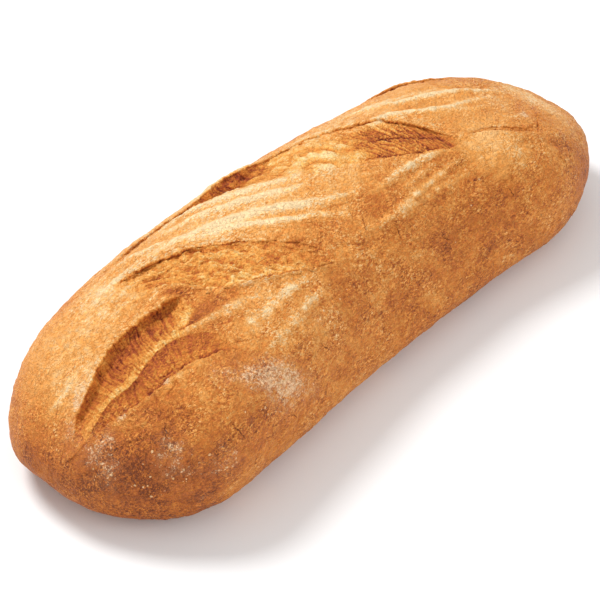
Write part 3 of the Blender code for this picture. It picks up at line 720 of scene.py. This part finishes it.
# The finish's effects, sizes in mm. A layer of mottling is its size, detail, roughness, distortion,
# whether it is drawn along the loaf, and the least and most it adds to the browning. A range is what
# the noise runs between, then what that becomes.
flourSpecks = dict(fine=1.3, wide=5, mixed=(0.65, 0.35), bare=0.72, perDensity=0.26, sharpness=13.0,
                   crazeSize=2.6, crazeWidth=0.05, crazed=0.8, veil=0.25, veilPatches=(0.3, 0.65))
mottling = dict(
    layers=[(24, 3.0, 0.55, 0.0, False, -0.11, 0.11), (4, 3.0, 0.6, 0.4, True, -0.05, 0.07),
            (0.9, 1.5, 0.6, 1.0, True, -0.18, 0.30)],
    between=(0.3, 0.7), drawn=0.5, depthSize=11, depth=(0.35, 0.65, 0.35, 1.3), speckSize=1.7,
    specks=(0.63, 0.70))
crackle = dict(size=3.0, width=0.045, paler=-0.12, height=0.3)
surface = dict(poreSize=1.4, pores=1.5, wrinkleSize=4.0, wrinkle=0.6)


def flourDust():
    # speckled flour: fine grains that show where the density is high, crazed by thin lines, over a veil
    s = flourSpecks
    group, source, sink = newGroup("flour dust", {"Density": 0.3}, ["Mask"])
    fine, wide = objectNoise(group, s["fine"], 2.0, 0.7, 0.8), objectNoise(group, s["wide"], 3.0, 0.6)
    speck = plus(group, times(group, fine, s["mixed"][0]), times(group, wide, s["mixed"][1]))
    density = source.outputs["Density"]
    level = math(group, "SUBTRACT", s["bare"], times(group, density, s["perDensity"]))
    grains = times(group, math(group, "SUBTRACT", speck, level), s["sharpness"], True)
    lines = times(group, thinLines(group, s["crazeSize"], s["crazeWidth"]), s["crazed"])
    grains = times(group, grains, math(group, "SUBTRACT", 1.0, lines))
    veil = times(group, times(group, density, density), s["veil"])
    veil = times(group, veil, remap(group, wide, *s["veilPatches"]), True)
    group.links.new(math(group, "MAXIMUM", grains, veil), sink.inputs["Mask"])
    return group


def unevenBrowning():
    # uneven browning: slow patches, blotches and a grain of varying depth, a pale crackle and fine dark
    # specks
    s = mottling
    group, source, sink = newGroup("uneven browning", {"Strength": 1.0}, ["Shift", "Specks"])
    place = addNode(group, "TexCoord").outputs["Object"]
    drawn = addNode(group, "Mapping", {"Vector": place, "Scale": (s["drawn"], 1, 1)}).outputs["Vector"]
    patches, blotches, grain = (
        remap(group, objectNoise(group, size, detail, roughness, distortion, drawn if along else None),
              *s["between"], least, most)
        for size, detail, roughness, distortion, along, least, most in s["layers"])
    depth = remap(group, objectNoise(group, s["depthSize"], 2.0, 0.5), *s["depth"])
    lines = times(group, thinLines(group, crackle["size"], crackle["width"]), crackle["paler"])
    fine = plus(group, times(group, grain, depth), lines)
    total = plus(group, plus(group, patches, blotches), fine)
    group.links.new(times(group, total, source.outputs["Strength"]), sink.inputs["Shift"])
    specks = remap(group, objectNoise(group, s["speckSize"], 2.0, 0.5, 0.6), *s["specks"])
    group.links.new(specks, sink.inputs["Specks"])
    return group


def crustGrain():
    # fine surface grain as a height: pores, small wrinkles and crackle
    s = surface
    group, source, sink = newGroup("crust grain", {"Wrinkle": s["wrinkle"]}, ["Height"])
    pores = times(group, objectNoise(group, s["poreSize"], 1.5, 0.6, 0.8), s["pores"])
    wrinkles = times(group, objectNoise(group, s["wrinkleSize"], 3.0, 0.6, 1.0), source.outputs["Wrinkle"])
    lines = times(group, thinLines(group, crackle["size"], crackle["width"]), crackle["height"])
    group.links.new(plus(group, plus(group, pores, wrinkles), lines), sink.inputs["Height"])
    return group


crustLook = dict(
    tones=[(0.0, (0.98, 0.71, 0.39)), (0.12, (0.94, 0.51, 0.185)), (0.25, (0.85, 0.362, 0.080)),
           (0.5, (0.64, 0.198, 0.029)), (0.75, (0.44, 0.110, 0.018)), (1.0, (0.18, 0.042, 0.011))],
    crumb=[(0.0, (0.98, 0.66, 0.28)), (0.12, (0.94, 0.50, 0.135)), (0.25, (0.86, 0.365, 0.070)),
           (0.5, (0.66, 0.205, 0.030)), (0.75, (0.44, 0.095, 0.024)), (1.0, (0.18, 0.032, 0.013))],
    mottled=(0.1, 0.5, 0.75, 1.4), smoothed=0.35, specks=(0.15, 0.45, 0.12, 0.45),
    flour=(1.0, 0.69, 0.41, 1.0), speck=(0.24, 0.075, 0.02, 1.0), flourCover=0.8, flourHeight=0.15,
    roughness=0.55, flourRough=0.3, tornRough=0.2, bump=0.9, bumpHeight=0.0014, specular=0.22)


def breadFinish(name, look):
    # browning picks a tone from the crust's or the torn crumb's colours, its level holding painted shade
    # and highlight as well as browning; flour lies over both, with painted sheen along the far rim
    material = bpy.data.materials.new(name)
    material.use_nodes = True
    tree = material.node_tree
    shader = tree.nodes["Principled BSDF"]
    shader.inputs["Specular IOR Level"].default_value = look["specular"]
    bake, floury, torn, smooth = (addNode(tree, "Attribute", attribute_name=key).outputs["Fac"]
                                  for key in ("bake", "flour", "torn", "smooth"))
    mottled = times(tree, remap(tree, bake, *look["mottled"]),
                    remap(tree, smooth, 0, 1, 1, look["smoothed"]))
    browning = addNode(tree, "Group", {"Strength": mottled}, node_tree=unevenBrowning())
    dust = addNode(tree, "Group", {"Density": floury}, node_tree=flourDust()).outputs["Mask"]
    grain = addNode(tree, "Group", node_tree=crustGrain()).outputs["Height"]
    level = plus(tree, bake, browning.outputs["Shift"], True)
    colour = mixColour(tree, torn, colourRamp(tree, level, look["tones"]),
                       colourRamp(tree, level, look["crumb"]))
    specks = times(tree, browning.outputs["Specks"], remap(tree, bake, *look["specks"]))
    specked = mixColour(tree, specks, colour, look["speck"])
    dusted = mixColour(tree, times(tree, dust, look["flourCover"]), specked, look["flour"])
    rough = plus(tree, look["roughness"], times(tree, dust, look["flourRough"]))
    rough = plus(tree, rough, times(tree, torn, look["tornRough"]), True)
    height = plus(tree, grain, times(tree, dust, look["flourHeight"]))
    bump = addNode(tree, "Bump", {"Strength": look["bump"], "Distance": look["bumpHeight"],
                   "Height": height}).outputs["Normal"]
    for key, value in (("Base Color", dusted), ("Roughness", rough), ("Normal", bump)):
        tree.links.new(value, shader.inputs[key])
    return material


crustFinish = breadFinish("baked crust", crustLook)
print("finish made")

# The whole crust: its columns in each strip, its rings, and how far it lies below the finer skins. They
# cover it from a share of the under strip to one of the back, and up to a place near each tip.
crustColumns = dict(under=50, band=12, wedge=6, near=26, strip=8, second=24, saddle=24, third=24,
                    shoulder=22, far=9, back=35)
crustRings = dict(count=413, crowding=0.3, underPower=1.35, backPower=1.1)
underSkin = dict(sunk=0.5, under=(0.62, 0.72), back=(0.16, 0.24), ends=(171, 177))   # mm and shares


def coveredShare(grid):
    # 1 where the finer skins lie over the crust, easing to 0 before their borders
    s, place, number = underSkin, 1 - grid["share"], grid["number"]
    fromUnder = easeStep((place - s["under"][0]) / (s["under"][1] - s["under"][0]))
    fromBack = easeStep((s["back"][1] - place) / (s["back"][1] - s["back"][0]))
    side = np.where(number == 0, fromUnder, np.where(number == number.max(), fromBack, 1.0))
    end = easeStep((s["ends"][1] - np.abs(grid["x"])) / (s["ends"][1] - s["ends"][0]))
    return end[:, None] * side


def makeCrust():
    # the whole loaf as one closed skin: rings crowd towards the tips, columns follow the rails
    s = crustRings
    polar = np.linspace(0, np.pi, s["count"] + 2)[1:-1]
    along = -np.cos(polar + s["crowding"] * np.sin(2 * polar) / 2)
    places = {name: np.arange(count) / count for name, count in crustColumns.items()}
    places["under"] = 1 - (1 - places["under"]) ** s["underPower"]
    places["back"] = places["back"] ** s["backPower"]
    grid = loafGrid(along * halfLength / mm, list(places.items()), sunk=True)
    relief = grid["relief"] - underSkin["sunk"] * mm * coveredShare(grid)
    body = grid["untorn"] + grid["normals"] * relief[..., None]
    tips = untornForm(np.array([-1.0, 1.0]), np.array([0.0, 0.0]))
    points = settled(np.concatenate([body.reshape(-1, 3), tips]))
    tones = dict(bake=crustBakeAndShading(grid), flour=crustFlourAndSheen(grid), torn=np.zeros(body.shape[:2]),
                 smooth=softSpots(grid["untorn"], smoothing))
    attributes = {key: np.append(values, values.ravel()[[0, -1]]) for key, values in tones.items()}
    quads, triangles = closedLoafFaces(*grid["clock"].shape)
    return addPiece("loaf_crust", points, quads, attributes, triangles)


crust = makeCrust()
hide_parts("loaf")

# Fine sheets lie over the crust: two of skin over the top and the open side, then one over each
# tear. Strips say which part of each is covered and by how many columns; sizes in mm.
skins = dict(
    lower=dict(start=-184, end=184, step=.8,
               strips=dict(under=(.5, 1, 84), band=(0, 1, 12), wedge=(0, 1, 8), near=(0, 1, 26),
                           strip=(0, 1, 14), second=(0, 1, 34), saddle=(0, .56, 26))),
    upper=dict(start=-183, end=183, step=.8,
               strips=dict(saddle=(.44, 1, 32), third=(0, 1, 56), shoulder=(0, 1, 46), far=(0, 1, 14),
                           back=(0, .3, 40))))
skinRelief = dict(wrinkle=0.16, wrinkleSize=6.5, grit=0.09, gritSize=2.2, uneven=0.6, unevenSize=40)
# Relief of each torn sheet as (mm along, mm): strands across it, flakes along it and puffs between.
# Crevices are (points, mm of half width).
tears = dict(
    near=dict(
        start=-187, end=-84, step=.4,
        strips=dict(under=(.88, 1, 44), band=(0, 1, 36), wedge=(0, 1, 16), near=(0, 1, 78),
                    strip=(0, .8, 18)),
        strand=[(-187, .2), (-88, .26)], flake=[(-187, .2), (-88, .2)], puff=[(-187, .2), (-88, .2)],
        strandWidth=1.8, strandLength=18, flakeWidth=2.4, flakeLength=5.5, puffSize=8, pit=.2,
        lean=.45, edge=1, seed=51,
        crevices=[
            ([(-147, -39), (-149, -44), (-153, -48), (-159, -49), (-165, -47), (-169, -43)], .7),
            ([(-150, -36), (-144, -38), (-139, -37), (-133, -38), (-128, -37), (-123, -39)], .8),
            ([(-120, -38), (-115, -41), (-110, -42), (-105, -45)], .7),
            ([(-101, -44), (-96, -47), (-90, -48)], .6), ([(-136, -41), (-140, -43), (-145, -44)], .6),
            ([(-160, -35), (-156, -38), (-152, -38)], .5), ([(-142, -34), (-137, -35), (-132, -34)], .5),
            ([(-118, -22), (-112, -22.5), (-106, -24), (-99, -26)], .7),
            ([(-116, 6.5), (-109, 7), (-102, 5.5), (-96, 1.5)], .4),
            ([(-186, -45), (-181, -42), (-177, -37)], .6)]),
    second=dict(
        start=-120, end=-2, step=.45,
        strips=dict(strip=(.1, 1, 16), second=(0, 1, 92), saddle=(0, .35, 24)),
        strand=[(-120, .2), (-80, .15), (-2, 0)], flake=[(-120, 1.1), (-60, 1.1), (-2, .4)],
        puff=[(-120, .4), (-2, .4)], strandWidth=2.2, strandLength=6, flakeWidth=3.6, flakeLength=16,
        puffSize=8, pit=.5, lean=.8, edge=.9, seed=61,
        crevices=[
            ([(-22, -36), (-14, -38), (-6, -43), (0, -47)], .5),
            ([(-18, -18), (-22, -24), (-28, -30)], .4), ([(-100, -13), (-94, -15), (-88, -17)], .6),
            ([(-78, -20.8), (-68, -25.2), (-58, -29.8), (-47, -35), (-37, -38.8), (-28, -41.2)], .5)]),
    third=dict(
        start=-104, end=146, step=.5,
        strips=dict(saddle=(.62, 1, 22), third=(0, 1, 86), shoulder=(0, .3, 16)),
        strand=[(-104, 0), (-45, .1), (-30, .35), (-3, .3), (8, .05), (28, .15), (42, .5), (76, .5),
                (90, 0), (146, 0)],
        flake=[(-104, .3), (-30, .4), (30, .4), (45, .3), (76, .25), (90, .1), (146, 0)],
        puff=[(-104, .6), (-45, .7), (-10, .6), (10, 1.3), (30, 1), (50, .2), (90, .1), (146, 0)],
        strandWidth=2, strandLength=12, flakeWidth=2.4, flakeLength=6, puffSize=11, pit=.15, lean=-.9,
        edge=.6, seed=71,
        crevices=[
            ([(38, 15), (45, 12), (54, 8), (62, 1), (70, -6), (76, -12)], .6),
            ([(30, 2), (40, -4), (50, -10), (60, -15), (72, -20)], .5),
            ([(86, -20), (98, -23.5), (108, -29.5), (118, -35), (127, -40)], .4),
            ([(127, -40.5), (132, -37), (137, -33), (141, -29)], .4),
            ([(137, -33), (141, -31.5), (144, -32.5)], .3), ([(128, -15), (133, -16), (138, -19)], .4)]),
    far=dict(
        start=56, end=140, step=.5, strips=dict(shoulder=(.75, 1, 16), far=(0, 1, 34), back=(0, .08, 14)),
        strand=[(56, .3), (140, .3)], flake=[(56, .4), (140, .4)], puff=[(56, .3), (140, .3)],
        strandWidth=2, strandLength=5, flakeWidth=2.2, flakeLength=5, puffSize=5, pit=.3, lean=0,
        edge=.5, seed=81, crevices=[]))
# How far each sheet lies from the crust at its border and inside it, and how wide its border is at its
# sides and ends, all in mm
skinBorder = dict(atBorder=-0.30, inside=0.30, side=3.0, end=4.0)
tearBorder = dict(atBorder=-0.15, inside=0.55, side=2.2, end=3.0)
tornRelief = dict(grit=0.12, gritSize=1.9, warp=1.8, warpSize=9, strandWarp=(0.25, 0.1), flakeWarp=1.6,
                  pitSize=2.6, pitFrom=0.35, pitEase=0.25, most=1.4, groove=0.9, raggedSize=3,
                  ragged=0.25, raggedBorder=0.35)
# How the crumb runs on beyond its edge and how its roughness starts: mm, then shares of the bed
tornEdge = dict(runsOn=1.5, fades=1.5, rim=3.0, beside=6.0, fromLip=0.12, evenly=0.2)
creviceLine = dict(wander=0.7, wanderSize=3.5, reach=5, ends=0.5)       # mm, and a power
# Painted shade and highlight, as more baking: for the hollows of the skin and the crumb, down to these mm,
# with their tops paler; for the strands' valleys, with their crests paler, partly the crumb's own streaks;
# and for the crevices
reliefShading = dict(skin=0.07, skinDepth=0.2, crumb=0.28, crumbDepth=1.2, strand=0.6, crevice=0.5,
                   smooth=0.5)


def skinHeight(places):
    # wrinkles and grit of the skin, deeper in some parts than in others
    s = skinRelief
    depth = 1 + s["uneven"] * fractalNoise(places, s["unevenSize"] * mm, 43, 1)
    return mm * depth * (s["grit"] * fractalNoise(places, s["gritSize"] * mm, 45, 2)
                         - s["wrinkle"] * foldedNoise(places / (s["wrinkleSize"] * mm), 41))


def gridNormals(points):
    forward, sideways = np.gradient(points, axis=0), np.gradient(points, axis=1)
    normal = np.cross(forward, sideways)
    return normal / np.maximum(np.linalg.norm(normal, axis=-1, keepdims=True), 1e-12)


def layOut(sheet, sunk, edges):
    # the sheet's grid on the loaf with its skin's relief; its border share is 0 at the border and 1
    # well inside it, and its lift follows that
    x = np.arange(sheet["start"], sheet["end"] + sheet["step"], sheet["step"])
    laid = loafGrid(x, [(strip, low + (high - low) * np.arange(count) / count)
                        for strip, (low, high, count) in sheet["strips"].items()], sunk)
    body = laid["untorn"] + laid["normals"] * laid["relief"][..., None]
    steps = np.linalg.norm(np.diff(body, axis=1), axis=2)
    fromLow = np.concatenate([np.zeros((len(x), 1)), np.cumsum(steps, axis=1)], axis=1)
    fromSide = np.minimum(fromLow, fromLow[:, -1:] - fromLow)
    fromEnd = np.minimum(x - x[0], x[-1] - x)[:, None]
    border = easeStep(np.minimum(fromSide / (edges["side"] * mm), fromEnd / edges["end"]))
    lift = mm * (edges["atBorder"] + (edges["inside"] - edges["atBorder"]) * border)
    laid.update(body=body, border=border, lift=lift, skin=skinHeight(laid["untorn"]))
    return laid


def skinShading(skin):
    # painted highlight and shade: how much paler the skin is painted where it stands up; less than
    # nothing, so browner, in its hollows
    return reliefShading["skin"] * np.clip(skin / (reliefShading["skinDepth"] * mm), -1, 1)


def addSheet(name, laid, points, uv, **tones):
    quads = sheetFaces(*laid["clock"].shape)
    return addPiece(name, settled(points.reshape(-1, 3)), quads, tones, uv=uv.reshape(-1, 2))


def makeSkin(name):
    laid = layOut(skins[name], True, skinBorder)
    rise = laid["lift"] + laid["skin"] * laid["border"]
    points = laid["body"] + laid["normals"] * rise[..., None]
    # the skin's browning with painted highlight on its raised grain and painted shade in its hollows
    bake = crustBakeAndShading(laid) - skinShading(laid["skin"])
    return addSheet(name + "_skin", laid, points, laid["untorn"][..., :2], bake=bake,
                    flour=crustFlourAndSheen(laid), torn=0 * bake, smooth=softSpots(laid["untorn"], smoothing))


def tearRelief(tear, x, along, across, places):
    # torn crumb: strands across the tear, flakes along it, puffs between and grit over all
    s, seed, flat = tornRelief, tear["seed"], 0 * along
    strand, flake, puff = (smoothSteps(x, tear[key])[:, None] for key in ("strand", "flake", "puff"))
    warp = s["warp"] * fractalNoise(places, s["warpSize"] * mm, seed + 1, 2)
    wide, long = s["strandWarp"]
    spun = np.stack([(along + tear["lean"] * across) / mm / tear["strandWidth"] + warp * wide,
                     across / mm / tear["strandLength"] + warp * long, flat], axis=-1)
    strands = foldedNoise(spun, seed + 2)
    bark = np.stack([(along / mm + warp) / tear["flakeLength"],
                     (across / mm + s["flakeWarp"] * warp) / tear["flakeWidth"], flat], axis=-1)
    flakes = foldedNoise(bark, seed + 8, 3)
    puffs = -foldedNoise(places / (tear["puffSize"] * mm), seed + 4)
    grit = fractalNoise(places, s["gritSize"] * mm, seed + 12, 2)
    pitted = fractalNoise(places, s["pitSize"] * mm, seed + 16, 2)
    pits = easeStep((pitted - s["pitFrom"]) / s["pitEase"])
    return mm * (strand * strands + flake * flakes + puff * puffs + s["grit"] * grit
                 - tear["pit"] * pits), strand * strands.clip(-1, 1)


def creviceDepth(tear, places):
    # how far into a crevice each place lies, 0 to 1; the lines wander by noise
    s = creviceLine
    depth = np.zeros(places.shape[:-1])
    wander = s["wander"] * mm * np.stack([latticeNoise(places / (s["wanderSize"] * mm), 91 + k)
                                          for k in range(3)], axis=-1)
    for points, width in tear["crevices"]:
        line, near = nearLine(places, points, 24, s["reach"] * mm)
        away, ends = distanceTo(places[near] + wander[near], line, s["ends"])
        depth[near] = np.maximum(depth[near], ends * bell(away, width * mm))
    return depth


def shareTable(x, shares, rows):
    # a table's value at each place along and each share of the bed, between its rows and columns
    columns = np.stack([smoothSteps(x, [(place, row[k]) for place, row in rows])
                        for k in range(len(tableShares))], axis=1)
    return columns @ np.stack([np.interp(shares, tableShares, row) for row in np.eye(len(tableShares))])


def tornPlaces(name, laid):
    # how torn, how deep in tone and how rough each place is, and its place along and across the tear
    s, tear, x, clock = tornEdge, tears[name], laid["x"], laid["clock"]
    torn, tone, rough, alongTear, acrossTear = np.zeros((5, *clock.shape))
    for slashName in [key for key in tear["strips"] if key in slashes]:
        sizes, slash = laid["sizes"][slashName], slashes[slashName]
        lip, edge, full, slant = (sizes[key][:, None] for key in ("lip", "edge", "full", "slant"))
        inside = laid["number"] == stripOrder.index(slashName)
        share = np.where(inside, laid["share"], 0)
        here = (inside & (share > 0))[None, :]
        down = (lip - clock) * sizes["scale"]
        lipLine = untornForm(laid["along"], sizes["lip"])
        travelled = np.append(0, np.cumsum(np.linalg.norm(np.diff(lipLine, axis=0), axis=1)))
        fade = 1.0
        if name == "near" and slashName == "near":
            # the crumb runs on over its edge into the wedge, and fades there
            wedge = laid["number"] == stripOrder.index("wedge")
            here, share = here | wedge[None, :], np.where(wedge, 1.0, share)
            beyond = (edge - clock) * sizes["scale"] / mm
            fade = bell(np.maximum(beyond - s["runsOn"], 0), s["fades"])
            fade = np.where(wedge[None, :], fade, 1)
        tearing = shareTable(x, share, slash["torn"]) * full * fade
        torn = np.where(here, tearing, torn)
        tone = np.where(here, shareTable(x, share, slash["tones"]), tone)
        fromRim = np.minimum(np.abs(down), np.abs((clock - edge) * sizes["scale"])) / mm
        edgeRough = tear["edge"] * full * bell(fromRim, s["rim"])
        coarse = (slash["coarse"] * full * easeStep(share / s["fromLip"])
                  * (s["evenly"] + (1 - s["evenly"]) * tearing))
        rough = np.maximum(np.where(here, coarse, rough), edgeRough)
        beside = here | (np.abs(down) < s["beside"] * mm)
        alongTear = np.where(beside, travelled[:, None] - down * slant, alongTear)
        acrossTear = np.where(beside, down, acrossTear)
    return torn, tone, rough, alongTear, acrossTear


def makeTear(name):
    s, h, tear = tornRelief, reliefShading, tears[name]
    laid = layOut(tear, False, tearBorder)
    body, border = laid["body"], laid["border"]
    torn, tone, rough, alongTear, acrossTear = tornPlaces(name, laid)
    crumb, strands = tearRelief(tear, laid["x"], alongTear, acrossTear, body)
    crumb = np.clip(rough * border * crumb, -s["most"] * mm, s["most"] * mm)
    skin = laid["skin"] * border * (1 - rough)
    crevice = creviceDepth(tear, laid["untorn"]) * border
    rise = laid["lift"] + skin + crumb - s["groove"] * mm * crevice
    points = body + gridNormals(body) * rise[..., None]

    ragged = s["ragged"] * fractalNoise(body, s["raggedSize"] * mm, tear["seed"] + 20, 2)
    torn = np.clip(torn * border * (1 + ragged) + s["raggedBorder"] * ragged * (torn > 0), 0, 1)
    # painted shade and highlight: the skin's and the crumb's hollows, the strands' valleys and the
    # crevices are painted browner and their tops paler; the strands are partly the crumb's own streaks
    base = crustBakeAndShading(laid) - skinShading(skin)
    shadedRelief = np.clip(crumb / mm, -h["crumbDepth"], h["crumbDepth"])
    bake = (base + (tone - base) * torn - h["crumb"] * shadedRelief
            - h["strand"] * strands * torn + h["crevice"] * crevice)
    smooth = softSpots(laid["untorn"], smoothing) + h["smooth"] * torn
    return addSheet(name + "_tear", laid, points, np.stack([alongTear, acrossTear], axis=-1),
                    bake=bake, flour=crustFlourAndSheen(laid, torn), torn=torn, smooth=smooth)


for skinName in skins:
    makeSkin(skinName)
for tearName in tears:
    makeTear(tearName)

# Cracks in the skin as (points, mm of half width), with their section's place across, height and
# baking, which is painted shade in the groove and painted highlight on the welts; then grains of flour
# stuck to it as (mm along, clock degrees, mm of spread, how many)
cracks = dict(
    lines=[([(4, -27), (1, -33), (-2, -39)], .45), ([(16, -45), (15, -53)], .5),
           ([(-129, -66), (-128, -70), (-125, -76)], .6), ([(69, -34), (77, -33)], .6),
           ([(90, -60), (91, -63), (91, -66)], .5), ([(-60, -70), (-56, -75)], .4),
           ([(-91, -86), (-88, -90)], .5), ([(-150, -52), (-154, -55), (-156, -60)], .5),
           ([(128, -56), (131, -62), (130, -66)], .4), ([(40, -66), (44, -70)], .4),
           ([(-176, 8), (-170, 14)], .4), ([(-152, 14), (-148, 9)], .4),
           ([(-162, 22), (-156, 19), (-151, 20)], .35), ([(-140, 24), (-133, 20)], .35),
           ([(146, -33.3), (151, -35), (157, -38.3)], .35)],
    across=np.array([-2.4, -1.3, -.75, -.4, 0, .4, .75, 1.3, 2.4]),
    height=np.array([-.3, .12, .26, .08, .03, .08, .26, .12, -.3]),
    bake=np.array([0, -.02, -.1, .35, .5, .35, -.1, -.02, 0]), lift=0.32, step=0.5, wander=0.9,
    wanderStep=0.22, uneven=0.5, ends=0.6)
grains = dict(
    spots=[(-157, -64, 5, 7), (-160, -74, 9, 12), (-178, -65, 7, 8), (-139, -79, 7, 6),
           (-88, -73, 9, 9), (-176, -48, 6, 6), (-168, -84, 9, 6), (-13, -24, 3, 3),
           (-120, -60, 14, 6), (-40, -60, 20, 6), (60, -60, 30, 6)],
    scatter=0.55, across=0.8, size=(0.25, 0.75), rings=np.array([-0.5, 0.15, 0.75]), bulge=1.3,
    flat=0.5, under=0.4, lift=0.25, uneven=0.3, bake=0.1, flour=1.2, seed=9)


def skinPlaces(along, clock, extra):
    # places on the finished skin, extra metres above it, with what its tones need
    untorn, normals = untornForm(along, clock), outwardNormals(along, clock)
    ridge, ridgeFlour = ridgeRelief(untorn)
    height = ridge + crustHeave(untorn) + skinHeight(untorn) + extra
    return dict(untorn=untorn, normals=normals, low=ridge, ridgeFlour=ridgeFlour,
                points=untorn + normals * height[..., None])


def makeCracks():
    # each a strip along its path: borders under the skin, a low welt each side painted a little paler as
    # highlight and a shallow groove painted dark as shade
    s = cracks
    points, quads, bakes, flours = [], [], [], []
    start = 0
    for number, (route, width) in enumerate(s["lines"]):
        length = np.hypot(*(np.diff(route, axis=0) * [1, 1.1]).T).sum()
        count = int(length / s["step"]) + 6
        along, clock = routePoints(route, count)
        arc = metresPerRadian(along, clock)
        steps = np.stack([np.gradient(along * halfLength), np.gradient(clock) * arc], axis=-1)
        steps /= np.linalg.norm(steps, axis=-1, keepdims=True)
        place = np.stack([np.arange(count) * s["wanderStep"], np.full(count, 3.1 * number),
                          np.zeros(count)], axis=-1)
        taper = np.sin(np.pi * np.linspace(0.02, 0.98, count)) ** s["ends"]
        wander = s["wander"] * latticeNoise(place, 71) * taper * mm
        wide = width * mm * taper * (1 + s["uneven"] * latticeNoise(place * 1.7, 72))
        side = wander[:, None] + wide[:, None] * s["across"]
        crack = skinPlaces(along[:, None] - side * steps[:, 1:] / halfLength,
                           clock[:, None] + side * steps[:, :1] / arc[:, None],
                           mm * (s["lift"] + s["height"] * taper[:, None]))
        points.append(crack["points"].reshape(-1, 3))
        bakes.append((crustBakeAndShading(crack) + s["bake"] * taper[:, None]).ravel())
        flours.append(crustFlourAndSheen(crack).ravel())
        quads.append(start + sheetFaces(*side.shape))
        start += side.size
    points, quads, bake, flour = (np.concatenate(part) for part in (points, quads, bakes, flours))
    addPiece("crust_cracks", settled(points), quads, dict(bake=bake, flour=flour, torn=0 * bake))


def makeGrains():
    # flour grains: squashed six-sided beads of three rings each, scattered about their spots
    s = grains
    scatter = np.random.default_rng(s["seed"])
    rows = [(x + spread * a, clock + s["across"] * spread * b)
            for x, clock, spread, count in s["spots"]
            for a, b in scatter.normal(0, s["scatter"], (count, 2))]
    along, clock = np.array(rows).T
    along, clock = along * mm / halfLength, np.radians(clock)
    size = mm * (s["size"][0] + (s["size"][1] - s["size"][0]) * scatter.random(len(along)) ** 2)
    skin = skinPlaces(along, clock, s["lift"] * mm)
    normal = skin["normals"]
    first = np.cross(normal, [0.3, 0.2, 0.9])
    first /= np.linalg.norm(first, axis=-1, keepdims=True)
    second = np.cross(normal, first)
    turn, level = np.meshgrid(np.arange(6) * np.pi / 3, s["rings"] * s["bulge"])
    ring = np.stack([np.cos(turn) * np.cos(level), np.sin(turn) * np.cos(level),
                     s["flat"] * np.sin(level)], axis=-1).reshape(-1, 3)
    bead = np.concatenate([ring, [[0, 0, -s["under"] * s["flat"]], [0, 0, s["flat"]]]])
    uneven = 1 + s["uneven"] * scatter.normal(0, 1, (len(along), len(bead), 1)).clip(-1, 1)
    turned = np.stack([first, second, normal], axis=1)
    points = skin["points"][:, None] + bead @ turned * uneven * size[:, None, None]
    column = np.arange(6)
    after = (column + 1) % 6
    quads = np.concatenate([np.stack([k + column, k + after, k + 6 + after, k + 6 + column], axis=-1)
                            for k in (0, 6)])
    triangles = np.concatenate([np.stack([0 * column + 18, after, column], axis=-1),
                                np.stack([0 * column + 19, 12 + column, 12 + after], axis=-1)])
    starts = np.arange(len(along))[:, None, None] * len(bead)
    flour = np.full(points.shape[:2], s["flour"])
    addPiece("flour_grains", points.reshape(-1, 3), (quads + starts).reshape(-1, 4),
             dict(bake=0 * flour + s["bake"], flour=flour, torn=0 * flour),
             (triangles + starts).reshape(-1, 3))


makeCracks()
makeGrains()

# Floor, light and camera. Each soft lamp: name, to the camera's right, up, towards the camera, size in
# metres, watts
studio = dict(floorSize=6.0, floorColour=(0.90, 0.90, 0.90, 1.0), floorRough=0.9, worldLight=0.66,
              azimuth=-46.9, elevation=40.0, distance=1.2, lens=144.06,
              target=(-0.01627, 0.0009, 0.0226), lampDistance=1.6,
              lamps=[("key", -0.54, 0.95, -0.32, 0.6, 19.5), ("fill", 0.6, 0.5, 0.7, 1.4, 8.5)])


def standThing(name, data, sideways, back, place):
    # puts a lamp or camera at a place, looking away from its back
    turn = np.eye(4)
    turn[:3] = np.stack([sideways, np.cross(back, sideways), back, place], axis=1)
    thing = bpy.data.objects.new(name, data)
    thing.matrix_world = Matrix(turn.tolist())
    bpy.context.scene.collection.objects.link(thing)
    return thing


def makeStudio():
    s = studio
    scene = bpy.context.scene
    scene.view_settings.view_transform = "Standard"
    world = bpy.data.worlds.new("studio")
    world.use_nodes = True
    sky = world.node_tree.nodes["Background"].inputs
    sky["Color"].default_value = (1.0, 1.0, 1.0, 1.0)
    sky["Strength"].default_value = s["worldLight"]
    scene.world = world
    corners = np.array([[-1, -1, 0], [1, -1, 0], [1, 1, 0], [-1, 1, 0]]) * s["floorSize"] / 2
    paper = bpy.data.materials.new("pale floor")
    paper.use_nodes = True
    shader = paper.node_tree.nodes["Principled BSDF"]
    shader.inputs["Base Color"].default_value = s["floorColour"]
    shader.inputs["Roughness"].default_value = s["floorRough"]
    floor = meshObject("floor", corners, np.array([[0, 1, 2, 3]]), noTriangles, paper, {})

    azimuth, elevation = np.radians(s["azimuth"]), np.radians(s["elevation"])
    towards = np.array([np.sin(azimuth), -np.cos(azimuth), 0])
    right = np.array([np.cos(azimuth), np.sin(azimuth), 0])
    back = towards * np.cos(elevation) + [0, 0, np.sin(elevation)]
    camera = bpy.data.cameras.new("camera")
    camera.lens = s["lens"]
    camera.sensor_width = 36.0
    camera.clip_start = 0.05
    scene.camera = standThing("camera", camera, right, back, s["target"] + back * s["distance"])

    for name, side, upward, near, size, power in s["lamps"]:
        facing = right * side + np.array([0, 0, upward]) + towards * near
        facing = facing / np.linalg.norm(facing)
        sideways = np.cross([0, 0, 1.0], facing)
        lamp = bpy.data.lights.new(name, "AREA")
        lamp.energy = power
        lamp.shape = "DISK"
        lamp.size = size
        standThing(name, lamp, sideways / np.linalg.norm(sideways), facing, facing * s["lampDistance"])


makeStudio()
print("studio made")
